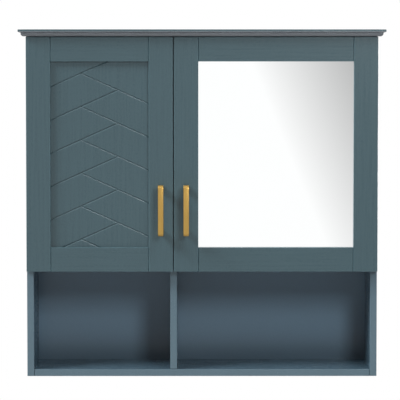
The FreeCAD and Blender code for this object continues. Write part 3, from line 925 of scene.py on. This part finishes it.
def seat_mesh(name: str, seats: list[tuple[Vector, Vector]]) -> bpy.types.Mesh:
    """Make a mesh of points that know which way they face.

    Args:
        name: Name of the mesh.
        seats: Place and facing of each point.

    Returns:
        The mesh.
    """
    mesh = bpy.data.meshes.new(name)
    mesh.from_pydata([place for place, _ in seats], [], [])
    facing = mesh.attributes.new("facing", "FLOAT_VECTOR", "POINT")
    facing.data.foreach_set("vector", [part for _, way in seats for part in way])
    return mesh


def middle(node: str) -> Vector:
    """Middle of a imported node's box."""
    low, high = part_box(node)
    return (low + high) / 2


def spaced(start: float, end: float, pitch: float) -> list[float]:
    """Places in an even row, at least a pitch apart and half a step from both ends."""
    count = int((end - start) / pitch)
    return [start + (end - start) * (index + 0.5) / count for index in range(count)]


def sizes_of(owner: object, *fields: str) -> dict[str, float]:
    """Values of fields by the names of tree inputs, such as Head Radius for head_radius."""
    return {field.replace("_", " ").title(): getattr(owner, field) for field in fields}


class Side(Enum):
    """The two doors, by the sign of X towards their hinges."""

    LEFT = -1
    RIGHT = 1

    @property
    def word(self) -> str:
        """The side's name in the names of the nodes."""
        return self.name.lower()

    @property
    def body(self) -> str:
        """The body of the side's door."""
        return f"{self.word}_door"


class Head(Enum):
    """Kinds of fastener head."""

    COUNTERSUNK = "cone flush with the seat, with a cross recess"
    PAN = "low dome on the seat, with a cross recess"
    BRAD = "low dome on the seat, with no recess"


@dataclass(frozen=True)
class Fixing:
    """Place of one fastener: the middle of its seat, the way that its head faces, and its length."""

    seat: Vector
    facing: Vector
    length: float


@dataclass(frozen=True)
class Fastener:
    """A kind of screw or brad, made wherever it is driven by one geometry tree."""

    name: str
    head: Head
    head_radius: float
    head_height: float
    shank_radius: float
    recess_span: float
    recess_width: float
    recess_depth: float
    finish: Finish = ZINC
    seed: int = 7

    def sizes(self) -> dict[str, float]:
        """Sizes that the tree takes, by the names of its inputs."""
        fields = ("head_radius", "head_height", "shank_radius", "recess_span", "recess_width", "recess_depth")
        return sizes_of(self, *fields)

    def tree(self) -> Graph:
        """Build the geometry tree: a head and a shank on every point.

        Returns:
            The tree's graph.
        """
        g = rule(self.name)
        (points,) = g.inputs("Geometry", "Seats")
        radius, height, shank_radius, *recess = g.inputs("Float", *self.sizes())
        (seed,) = g.inputs("Int", "Seed")
        if self.head is Head.COUNTERSUNK:
            head = self.recessed(g, self.countersunk(g, radius, height, shank_radius), recess, 0.0)
        elif self.head is Head.PAN:
            head = self.recessed(g, self.dome(g, radius, height), recess, height)
        else:
            head = self.dome(g, radius, height)
        length = g.node("GeometryNodeInputNamedAttribute", {"data_type": "FLOAT"}, {"Name": "length"})
        aim = g.aim()
        turn = g.node("FunctionNodeRandomValue", {"data_type": "FLOAT"}, {2: 0.0, 3: math.pi, 8: seed}, 1)
        spin = g.node("FunctionNodeAxisAngleToRotation", inputs={"Axis": (0.0, 0.0, 1.0), "Angle": turn})
        both = {"Rotation": aim, "Rotate By": spin}
        turned = g.node("FunctionNodeRotateRotation", {"rotation_space": "LOCAL"}, both)
        unit = {"Vertices": SHANK_SIDES, "Radius": shank_radius, "Depth": 1.0}
        shank = g.moved(g.node("GeometryNodeMeshCylinder", inputs=unit), (0.0, 0.0, -0.5))
        heads = g.copies(points, head, turned)
        shanks = g.copies(points, shank, aim, g.vector(1.0, 1.0, length))
        g.result(g.joined([heads, shanks]), self.finish)
        return g

    def recessed(self, g: Graph, head: Sock, recess: list[Sock], crown: Sock | float) -> Sock:
        """Cut a cross recess into a head.

        Args:
            g: The tree's graph.
            head: The plain head.
            recess: Span, width and depth of the recess.
            crown: Height of the head's crown over the seat.

        Returns:
            The head with its recess.
        """
        span, width, depth = recess
        slots = []
        for along, across in ((span, width), (width, span)):
            bar = g.node("GeometryNodeMeshCube", inputs={"Size": g.vector(along, across, depth * 2.0)})
            slots.append(g.moved(bar, g.vector(z=crown)))
        return g.cut(head, slots)

    def countersunk(self, g: Graph, radius: Sock, height: Sock, shank_radius: Sock) -> Sock:
        """A cone from the seat's plane down to the shank."""
        sizes = {"Vertices": HEAD_SIDES, "Radius Top": radius, "Radius Bottom": shank_radius, "Depth": height}
        return g.moved(g.node("GeometryNodeMeshCone", inputs=sizes), g.vector(z=height * -1.0))

    def dome(self, g: Graph, radius: Sock, height: Sock) -> Sock:
        """A low dome on the seat's plane."""
        rings = ((0.0, 0.0), (0.0, 1.0), (0.45, 0.97), (0.8, 0.84), (1.0, 0.6), (1.0, 0.0))
        return g.turned([(height * rise, radius * share) for rise, share in rings], HEAD_SIDES)

    def drive(self, body: str, fixings: list[Fixing], replaced: tuple[str, ...] = ()) -> None:
        """Put the fastener at its places on one body.

        Args:
            body: Body that they ride on.
            fixings: Their places.
            replaced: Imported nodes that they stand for.
        """
        source = seat_mesh(f"{self.name}_seats", [(fixing.seat, fixing.facing) for fixing in fixings])
        length = source.attributes.new("length", "FLOAT", "POINT")
        length.data.foreach_set("value", [fixing.length for fixing in fixings])
        values = {**self.sizes(), "Seed": self.seed}
        adopt(self.tree().mesh(source, f"{body}_{self.name}", values), body, replaced)


SMALL_SCREW = Fastener(
    "small_screws", Head.COUNTERSUNK, 3.0 * MM, 1.5 * MM, 1.5 * MM, 3.4 * MM, 0.7 * MM, 0.9 * MM
)
CROWN_SCREW = Fastener(
    "crown_board_screws", Head.COUNTERSUNK, 4.0 * MM, 2.0 * MM, 2.0 * MM, 4.4 * MM, 0.9 * MM, 1.2 * MM
)
PULL_SCREW = Fastener(
    "pan_head_screws", Head.PAN, 4.0 * MM, 1.8 * MM, 2.0 * MM, 4.0 * MM, 0.9 * MM, 1.1 * MM
)
ADJUSTER = Fastener(
    "adjusting_screws", Head.PAN, 2.4 * MM, 0.5 * MM, 1.2 * MM, 2.6 * MM, 0.6 * MM, 0.4 * MM
)
BRAD = Fastener("brads", Head.BRAD, 0.9 * MM, 0.25 * MM, 0.6 * MM, 0.0, 0.0, 0.0)


@dataclass(frozen=True)
class ShelfPins:
    """Shelf pins with a collar against the panel, made by one geometry tree."""

    radius: float = 2.5 * MM
    out: float = 8.0 * MM
    sunk: float = 5.0 * MM
    collar_radius: float = 3.4 * MM
    collar_thickness: float = 0.7 * MM
    tip: float = 0.8 * MM
    shelf_gap: float = 1.0 * MM
    sides: int = 32

    def sizes(self) -> dict[str, float]:
        """Sizes that the tree takes, by the names of its inputs."""
        return sizes_of(self, "radius", "out", "sunk", "collar_radius", "collar_thickness", "tip")

    def tree(self) -> Graph:
        """Build the geometry tree: a pin with a collar and a tapered tip on every hole.

        Returns:
            The tree's graph.
        """
        g = rule("shelf_pin")
        (points,) = g.inputs("Geometry", "Holes")
        radius, out, sunk, collar_radius, collar, tip = g.inputs("Float", *self.sizes())
        foot = sunk * -1.0
        stations = [
            (foot, 0.0),
            (foot, radius),
            (0.0, radius),
            (0.0, collar_radius),
            (collar, collar_radius),
            (collar, radius),
            (out - tip, radius),
            (out, radius - tip),
            (out, 0.0),
        ]
        g.result(g.copies(points, g.turned(stations, self.sides), g.aim()), NICKEL)
        return g

    def fit(self) -> None:
        """Put the pins in their holes under both shelves."""
        low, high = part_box("shelf_pins")
        level = (low.z + high.z) / 2
        rows = (low.y + self.radius, high.y - self.radius)
        holes = []
        for shelf in ("left_shelf", "right_shelf"):
            left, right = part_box(shelf)
            for x, inward in ((left.x - self.shelf_gap, 1.0), (right.x + self.shelf_gap, -1.0)):
                holes += [(Vector((x, y, level)), Vector((inward, 0.0, 0.0))) for y in rows]
        source = seat_mesh("shelf_pin_holes", holes)
        piece = self.tree().mesh(source, "collared_shelf_pins", self.sizes())
        adopt(piece, "cabinet", ("shelf_pins",))


@dataclass(frozen=True)
class ChevronPanel:
    """Recessed panel of the left door, with soft-lipped grooves laid out by one geometry tree."""

    frame_width: float = 42.0 * MM
    pitch: float = 57.6 * MM
    slope: float = math.radians(24.2)
    first: float = 20.5 * MM
    groove_width: float = 4.2 * MM
    groove_depth: float = 1.1 * MM
    rows: int = 6
    facets: int = 25
    lead: float = 0.004
    weld: float = 0.02 * MM

    def tree(self) -> Graph:
        """Build the geometry tree: a plate less two rows of soft-lipped grooves that meet in turn.

        Returns:
            The tree's graph.
        """
        g = rule("chevron")
        g.inputs("Geometry", "Start")
        size, centre, knot_at = g.inputs("Vector", "Panel Size", "Panel Centre", "First Knot")
        pitch, slope, width, depth = g.inputs("Float", "Pitch", "Slope", "Groove Width", "Groove Depth")
        rows, facets = g.inputs("Int", "Rows", "Facets")
        rise = slope.math("TANGENT", slope)
        reach = g.axis(size, "X") * 0.5
        knot = pitch / (rise * 4.0)
        length = (reach + knot) / slope.math("COSINE", slope)
        section = g.vector(width * 0.5, depth, length)
        bar = self.cutter(g, facets)
        step = g.vector(z=pitch * -1.0)
        cuts = []
        for way in (-1.0, 1.0):
            dx = (reach - knot) * (0.5 * way)
            offset = g.vector(dx, 0.0, (dx + knot) * rise * -way)
            start = g.node("ShaderNodeVectorMath", {"operation": "ADD"}, {0: knot_at, 1: offset})
            turn = g.node("FunctionNodeEulerToRotation", inputs={0: g.vector(y=math.pi / 2 + slope * way)})
            cuts.append(g.copies(g.row(rows, start, step), bar, turn, section))
        plate = g.moved(g.node("GeometryNodeMeshCube", inputs={"Size": size}), centre)
        cutters = g.node("GeometryNodeRealizeInstances", inputs={"Geometry": g.joined(cuts)})
        clean = g.welded(g.cut(plate, cutters), self.weld)
        g.result(g.node("GeometryNodeSetShadeSmooth", inputs={0: clean, "Shade Smooth": False}), PANEL_PAINT)
        return g

    def cutter(self, g: Graph, facets: Sock) -> Sock:
        """A cutter of unit size along Z, whose section flattens out towards its lips.

        Args:
            g: The tree's graph.
            facets: Points across the section.

        Returns:
            The cutter, with its lips just ahead of the face.
        """
        points = g.row(facets, (1.0, 0.0, 0.0), g.vector(-2.0 / (facets - 1.0)))
        s = g.axis(g.node("GeometryNodeInputPosition"), "X")
        sunk = (1.0 - s.math("ABSOLUTE", s)) ** 2.0 * (1.0 + self.lead) - self.lead
        curved = g.node("GeometryNodeSetPosition", inputs={"Geometry": points, "Position": g.vector(s, sunk)})
        section = g.node("GeometryNodeMeshToCurve", inputs={"Mesh": curved})
        closed = g.node("GeometryNodeSetSplineCyclic", inputs={"Geometry": section, "Cyclic": True})
        ends = {"Start": (0.0, 0.0, -0.5), "End": (0.0, 0.0, 0.5)}
        run = g.node("GeometryNodeCurvePrimitiveLine", inputs=ends)
        swept = {"Curve": run, "Profile Curve": closed, "Fill Caps": True}
        return g.node("GeometryNodeCurveToMesh", inputs=swept)

    def fit(self) -> None:
        """Build the panel in the left door's frame."""
        low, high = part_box("left_chevron_panel")
        centre = (low + high) / 2
        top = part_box("left_top_rail")[1].z - self.frame_width
        values = {
            "Panel Size": high - low,
            "Panel Centre": centre,
            "First Knot": Vector((centre.x, low.y, top - self.first)),
            **sizes_of(self, "pitch", "slope", "groove_width", "groove_depth", "rows", "facets"),
        }
        piece = self.tree().mesh(bpy.data.meshes.new("chevron_start"), "grooved_chevron_panel", values)
        adopt(piece, "left_door", ("left_chevron_panel",))


@dataclass(frozen=True)
class BarPull:
    """Bar pull on two square legs, with bevelled ends and softened edges."""

    side: Side
    spacing: float = 76.0 * MM
    leg: float = 8.0 * MM
    bar: float = 8.0 * MM
    bevel: float = 4.0 * MM
    inner_radius: float = 1.6 * MM
    inner_steps: int = 4
    ease: float = 0.6 * MM
    ease_steps: int = 3
    eased_angle: float = math.radians(40.0)
    sharp_angle: float = math.radians(32.0)
    touch: float = 0.01 * MM

    def outline(self, low: Vector, high: Vector) -> list[tuple[float, float]]:
        """Side view of the bar.

        Args:
            low: Lowest corner of the pull's box.
            high: Highest corner.

        Returns:
            Points in Y and Z, in order round the outline.
        """
        back, half = low.y + self.bar, (high.z - low.z) / 2
        leg_in, leg_out = (self.spacing - self.leg) / 2, (self.spacing + self.leg) / 2
        upper = []
        for step in range(self.inner_steps + 1):
            angle = math.pi / 2 * step / self.inner_steps
            out = self.inner_radius * (1.0 - math.cos(angle))
            upper.append((back + out, leg_in - self.inner_radius * (1.0 - math.sin(angle))))
        upper += [(high.y, leg_in), (high.y, leg_out), (back, leg_out), (back, half)]
        upper += [(low.y + self.bevel, half), (low.y, half - self.bevel)]
        centre = low.z + half
        return [(y, centre + z) for y, z in upper] + [(y, centre - z) for y, z in reversed(upper)]

    def eased_edges(self, bm: bmesh.types.BMesh, on_door: float) -> list[bmesh.types.BMEdge]:
        """Sharp edges of the plain pull, but for those that lie on the door, past a Y."""
        sharp = [edge for edge in bm.edges if edge.calc_face_angle(0.0) > self.eased_angle]
        return [edge for edge in sharp if any(vert.co.y <= on_door for vert in edge.verts)]

    def fit(self) -> None:
        """Build the pull on its door."""
        node = f"{self.side.word}_pull"
        low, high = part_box(node)
        bm = bmesh.new()
        face = bm.faces.new([bm.verts.new((low.x, y, z)) for y, z in self.outline(low, high)])
        swept = bmesh.ops.extrude_face_region(bm, geom=[face])
        moved = [part for part in swept["geom"] if isinstance(part, bmesh.types.BMVert)]
        bmesh.ops.translate(bm, verts=moved, vec=(high.x - low.x, 0.0, 0.0))
        bmesh.ops.recalc_face_normals(bm, faces=bm.faces)
        bmesh.ops.bevel(
            bm,
            geom=self.eased_edges(bm, high.y - self.touch),
            offset=self.ease,
            segments=self.ease_steps,
            profile=0.5,
            affect="EDGES",
            clamp_overlap=True,
        )
        piece = mesh_piece(f"{self.side.word}_bar_pull", bm, GOLD)
        piece.data.shade_smooth()
        piece.data.set_sharp_from_angle(angle=self.sharp_angle)
        adopt(piece, self.side.body, (node,))


@dataclass
class Carcass:
    """Boards, shelves and cleats of the fixed cabinet, with its pins, screws and brads."""

    nodes: dict[str, bpy.types.Object]
    top_band: float = 3.0 * MM
    crown_screw_inset: float = 40.0 * MM
    brad_pitch: float = 62.0 * MM
    brad_length: float = 14.0 * MM

    def fit(self) -> None:
        """Dress the boards and drive the fasteners."""
        boards = ["side_left", "side_right", "top_panel", "bottom_panel", "deck_panel"]
        boards += ["upper_divider", "lower_divider", "left_shelf", "right_shelf"]
        low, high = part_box("side_right")
        rear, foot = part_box("back_panel")[1].y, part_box("bottom_panel")[1].z
        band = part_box("crown_board")[1].z - self.top_band
        slot = "carcass_paint"
        board_paint = BoardPaint("paint_on_boards", slot, SHADED_INNER_COLOUR, OUTER_COLOUR, low.y, high.x, low.z)
        back_paint = BackPaint("paint_on_back_panel", slot, CARCASS_COLOUR, BARE_COLOUR, rear, foot)
        crown_paint = MouldingPaint("paint_on_crown", "door_paint", DOOR_COLOUR, PAINTED_LIGHT_COLOUR, band)
        dress(self.nodes, boards, board_paint)
        dress(self.nodes, ["back_panel"], back_paint)
        dress(self.nodes, ["hanging_cleat", "lower_cleat"], CLEAT_BOARD)
        dress(self.nodes, ["crown_board"], crown_paint)
        dress(self.nodes, ["carcass_dowels"], BEECH)
        ShelfPins().fit()
        self.crown_screws()
        self.back_brads(rear)

    def crown_screws(self) -> None:
        """Drive the screws up through the top panel into the crown board."""
        low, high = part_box("crown_screws")
        reach = CROWN_SCREW.head_radius
        xs = (low.x + reach, middle("upper_divider").x + self.crown_screw_inset, high.x - reach)
        ys = (low.y + reach, high.y - reach)
        length = high.z - low.z
        fixings = [Fixing(Vector((x, y, low.z)), DOWNWARD, length) for x in xs for y in ys]
        CROWN_SCREW.drive("cabinet", fixings, ("crown_screws",))

    def back_brads(self, rear: float) -> None:
        """Pin the back panel to the deck and the dividers.

        Args:
            rear: Y of the back panel's rear face.
        """
        deck_low, deck_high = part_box("deck_panel")
        level, divider = middle("deck_panel").z, middle("upper_divider").x
        start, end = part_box("lower_cleat")[1].z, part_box("hanging_cleat")[0].z
        places = [(x, level) for x in spaced(deck_low.x, deck_high.x, self.brad_pitch)]
        places += [(divider, z) for z in spaced(start, end, self.brad_pitch)]
        fixings = [Fixing(Vector((x, rear, z)), REARWARD, self.brad_length) for x, z in places]
        BRAD.drive("cabinet", fixings)


@dataclass
class DoorFrame:
    """Stiles and rails of one door, its pull and what is fixed to its back."""

    nodes: dict[str, bpy.types.Object]
    side: Side

    def fit(self) -> None:
        """Dress the frame and fit its pull, pads and screws."""
        word = self.side.word
        dress(self.nodes, [f"{word}_hinge_stile", f"{word}_lock_stile"], STILE_PAINT)
        dress(self.nodes, [f"{word}_top_rail", f"{word}_bottom_rail"], RAIL_PAINT)
        dress(self.nodes, [f"{word}_bumpers"], PAD)
        dress(self.nodes, [f"{word}_strike_plate"], ZINC)
        BarPull(self.side).fit()
        self.pull_screws()

    def pull_screws(self) -> None:
        """Drive the two pan-head screws that hold the pull."""
        node = f"{self.side.word}_pull_screws"
        low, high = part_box(node)
        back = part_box(f"{self.side.word}_lock_stile")[1].y
        reach = PULL_SCREW.head_radius
        seats = [Vector((middle(node).x, back, z)) for z in (low.z + reach, high.z - reach)]
        PULL_SCREW.drive(self.side.body, [Fixing(seat, REARWARD, back - low.y) for seat in seats], (node,))


@dataclass
class MirrorInfill:
    """Mirror pane of the right door, its backing board and the beads that hold it."""

    nodes: dict[str, bpy.types.Object]
    brad_pitch: float = 70.0 * MM
    brad_length: float = 12.0 * MM

    def fit(self) -> None:
        """Dress the infill and pin its beads."""
        dress(self.nodes, ["mirror_pane"], MIRROR)
        dress(self.nodes, ["mirror_backing"], BACKING_BOARD)
        dress(self.nodes, ["mirror_bead_left", "mirror_bead_right"], STILE_PAINT)
        dress(self.nodes, ["mirror_bead_top", "mirror_bead_bottom"], RAIL_PAINT)
        dress(self.nodes, ["right_frame_dowels"], BEECH)
        fixings = []
        for bead, axis in (("left", 2), ("right", 2), ("top", 0), ("bottom", 0)):
            low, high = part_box(f"mirror_bead_{bead}")
            for place in spaced(low[axis], high[axis], self.brad_pitch):
                seat = (low + high) / 2
                seat.y = high.y
                seat[axis] = place
                fixings.append(Fixing(seat, REARWARD, self.brad_length))
        BRAD.drive("right_door", fixings)


@dataclass
class CupHinges:
    """Cup hinges of one door: cups and pins on the door, arms and plates on the cabinet."""

    nodes: dict[str, bpy.types.Object]
    side: Side
    ear_radius: float = 5.0 * MM

    def fit(self) -> None:
        """Dress the hinges and drive their cup screws."""
        word = self.side.word
        plated = [f"{word}_{place}_hinge_{part}" for place in ("upper", "lower") for part in ("cup", "arm")]
        dress(self.nodes, [*plated, f"{word}_hinge_plates", f"{word}_hinge_pins"], NICKEL)
        node = f"{word}_cup_screws"
        low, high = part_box(node)
        x = low.x + SMALL_SCREW.head_radius
        fixings = []
        for place in ("upper", "lower"):
            cup_low, cup_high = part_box(f"{word}_{place}_hinge_cup")
            for z in (cup_low.z + self.ear_radius, cup_high.z - self.ear_radius):
                fixings.append(Fixing(Vector((x, cup_high.y, z)), REARWARD, high.y - low.y))
        SMALL_SCREW.drive(self.side.body, fixings, (node,))


@dataclass
class CabinetScrews:
    """Catches on the fixed cabinet, and the screws of the catches, hinge plates and hinge arms."""

    nodes: dict[str, bpy.types.Object]
    plate_half: float = 16.0 * MM
    catch_inset: float = 5.0 * MM
    adjuster_ahead: float = 13.0 * MM
    adjuster_length: float = 3.0 * MM

    def fit(self) -> None:
        """Dress the catches and drive the screws."""
        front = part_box("side_left")[0].y
        moulding = CatchBody("catch_moulding", "catch_plastic", CATCH_COLOUR, STEEL_COLOUR, front)
        dress(self.nodes, ["left_catch", "right_catch"], moulding)
        fixings: list[Fixing] = []
        adjusters: list[Fixing] = []
        for side in Side:
            for place in ("upper", "lower"):
                *screws, adjuster = self.hinge_fixings(side, place)
                fixings += screws
                adjusters.append(adjuster)
            fixings += self.catch_fixings(side)
        SMALL_SCREW.drive("cabinet", fixings, ("hinge_plate_screws", "hinge_arm_screws", "catch_screws"))
        ADJUSTER.drive("cabinet", adjusters)

    def hinge_fixings(self, side: Side, place: str) -> list[Fixing]:
        """Places of the screws of one hinge.

        Args:
            side: Side of the hinge.
            place: Upper or lower.

        Returns:
            The fixings of two plate screws, the arm screw and the adjusting screw.
        """
        node = f"{side.word}_{place}_hinge_arm"
        inner = 1 if side is Side.LEFT else 0
        arm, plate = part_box(node)[inner].x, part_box(f"{side.word}_hinge_plates")[inner].x
        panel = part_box(f"side_{side.word}")[inner].x
        plate_y, arm_y, level = middle("hinge_plate_screws").y, middle("hinge_arm_screws").y, middle(node).z
        bite = max(abs(corner.x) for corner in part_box("hinge_plate_screws")) - abs(plate)
        seats = [
            (plate, plate_y, level - self.plate_half, bite),
            (plate, plate_y, level + self.plate_half, bite),
            (arm, arm_y, level, abs(arm - panel)),
            (arm, arm_y - self.adjuster_ahead, level, self.adjuster_length),
        ]
        inward = Vector((-side.value, 0.0, 0.0))
        return [Fixing(Vector((x, y, z)), inward, length) for x, y, z, length in seats]

    def catch_fixings(self, side: Side) -> list[Fixing]:
        """Places of the two screws of one catch.

        Args:
            side: Side of the catch.

        Returns:
            The fixings, with heads facing down.
        """
        low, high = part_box(f"{side.word}_catch")
        y, length = middle("catch_screws").y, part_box("catch_screws")[1].z - low.z
        xs = (low.x + self.catch_inset, high.x - self.catch_inset)
        return [Fixing(Vector((x, y, low.z)), DOWNWARD, length) for x in xs]


@dataclass(frozen=True)
class Lamp:
    """A softbox, placed by its direction from the cabinet."""

    name: str
    azimuth: float
    elevation: float
    distance: float
    width: float
    height: float
    power: float

    def place(self, target: Vector) -> None:
        """Hang the lamp and turn it to the cabinet.

        Args:
            target: Point that it faces.
        """
        data = bpy.data.lights.new(self.name, "AREA")
        data.shape = "RECTANGLE"
        data.size = self.width
        data.size_y = self.height
        data.energy = self.power
        lamp = bpy.data.objects.new(self.name, data)
        bpy.context.scene.collection.objects.link(lamp)
        turn, rise = math.radians(self.azimuth), math.radians(self.elevation)
        way = Vector((math.sin(turn) * math.cos(rise), -math.cos(turn) * math.cos(rise), math.sin(rise)))
        lamp.location = target + way * self.distance
        lamp.rotation_euler = way.to_track_quat("Z", "Y").to_euler()


@dataclass
class Studio:
    """Floor, surroundings, lamps, the card that the mirror shows, and the camera."""

    camera_at: Triple = (-0.0165, -4.8009, 0.062)
    pan: float = 0.161
    tilt: float = -3.751
    lens: float = 240.54
    sensor: float = 36.0
    sight: float = 60.0
    target: Triple = (0.0, -0.18, -0.25)
    ambient: float = 0.02
    floor_level: float = -1.2
    floor_radius: float = 3.0
    floor_sides: int = 96
    floor_colour: Colour = (0.82, 0.82, 0.82)
    floor_bounce: Colour = (0.5, 0.5, 0.5)
    card_y: float = -6.2
    card_box: tuple[float, float, float, float] = (-1.2, -1.6, 1.8, 1.4)
    card_edge: Triple = (0.2167, -0.0858, 0.4122)
    card_fade: float = 0.645
    card_white: float = 1.03
    lamps: tuple[Lamp, ...] = (
        Lamp("left_softbox", -66.0, 38.0, 13.0, 6.5, 3.9, 1920.0),
        Lamp("right_softbox", 19.3, 20.5, 2.6, 0.5, 0.62, 24.0),
        Lamp("top_softbox", 42.0, 56.0, 3.2, 0.8, 0.8, 17.5),
        Lamp("overhead_softbox", 0.0, 84.0, 3.0, 0.7, 0.7, 2.6),
        Lamp("rear_softbox", 142.0, 1.0, 3.4, 1.4, 0.8, 68.0),
    )

    def build(self) -> None:
        """Set up everything round the cabinet."""
        scene = bpy.context.scene
        scene.view_settings.view_transform = "Standard"
        self.world(scene)
        self.floor()
        self.card()
        for lamp in self.lamps:
            lamp.place(Vector(self.target))
        self.camera(scene)

    def world(self, scene: bpy.types.Scene) -> None:
        """White surroundings for the camera, reflections and clear parts, and a dim even light.

        Args:
            scene: The scene that gets the world.
        """
        world = bpy.data.worlds.new("studio")
        world.use_nodes = True
        scene.world = world
        g = Graph(world.node_tree)
        seen = g.ray("Camera") + g.ray("Glossy") + g.ray("Transmission")
        strength = seen.math("MINIMUM", seen, 1.0) * (1.0 - self.ambient) + self.ambient
        light = g.node("ShaderNodeBackground", inputs={"Color": WHITE, "Strength": strength})
        g.node("ShaderNodeOutputWorld", inputs={"Surface": light})

    def sheet(self, name: str, corners: list[Triple], finish: Finish) -> None:
        """Add a flat stage piece.

        Args:
            name: Name of the piece.
            corners: Its corners, in order.
            finish: Finish that it gets.
        """
        bm = bmesh.new()
        bm.faces.new([bm.verts.new(corner) for corner in corners])
        mesh_piece(name, bm, finish)

    def floor(self) -> None:
        """Lay a round pale floor that fades out at its rim."""
        radius, level = self.floor_radius, self.floor_level
        turns = [2.0 * math.pi * step / self.floor_sides for step in range(self.floor_sides)]
        rim = [(radius * math.cos(turn), radius * math.sin(turn), level) for turn in turns]
        paint = FloorPaint("pale_floor", NO_SLOT, self.floor_colour, self.floor_bounce, radius)
        self.sheet("floor", rim, paint)

    def card(self) -> None:
        """Stand a card with a grey fade behind the camera, which only reflections show."""
        left, bottom, right, top = self.card_box
        corners = [(left, bottom), (left, top), (right, top), (right, bottom)]
        fade = FadeCard("grey_fade", NO_SLOT, self.card_edge, self.card_fade, self.card_white)
        self.sheet("fade_card", [(x, self.card_y, z) for x, z in corners], fade)

    def camera(self, scene: bpy.types.Scene) -> None:
        """Set the camera in front of the cabinet.

        Args:
            scene: The scene that looks through it.
        """
        data = bpy.data.cameras.new("front_camera")
        data.lens = self.lens
        data.sensor_width = self.sensor
        data.clip_end = self.sight
        camera = bpy.data.objects.new("front_camera", data)
        scene.collection.objects.link(camera)
        camera.location = self.camera_at
        camera.rotation_euler = (math.radians(90.0 + self.tilt), 0.0, math.radians(-self.pan))
        scene.camera = camera


def main() -> None:
    """Build the dressed cabinet and its studio."""
    logging.basicConfig(level=logging.INFO, format="%(name)s: %(message)s")
    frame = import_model()
    nodes = frame["nodes"]
    Studio().build()
    Carcass(nodes).fit()
    CabinetScrews(nodes).fit()
    for side in Side:
        DoorFrame(nodes, side).fit()
        CupHinges(nodes, side).fit()
    ChevronPanel().fit()
    MirrorInfill(nodes).fit()


if __name__ == "__main__":
    main()
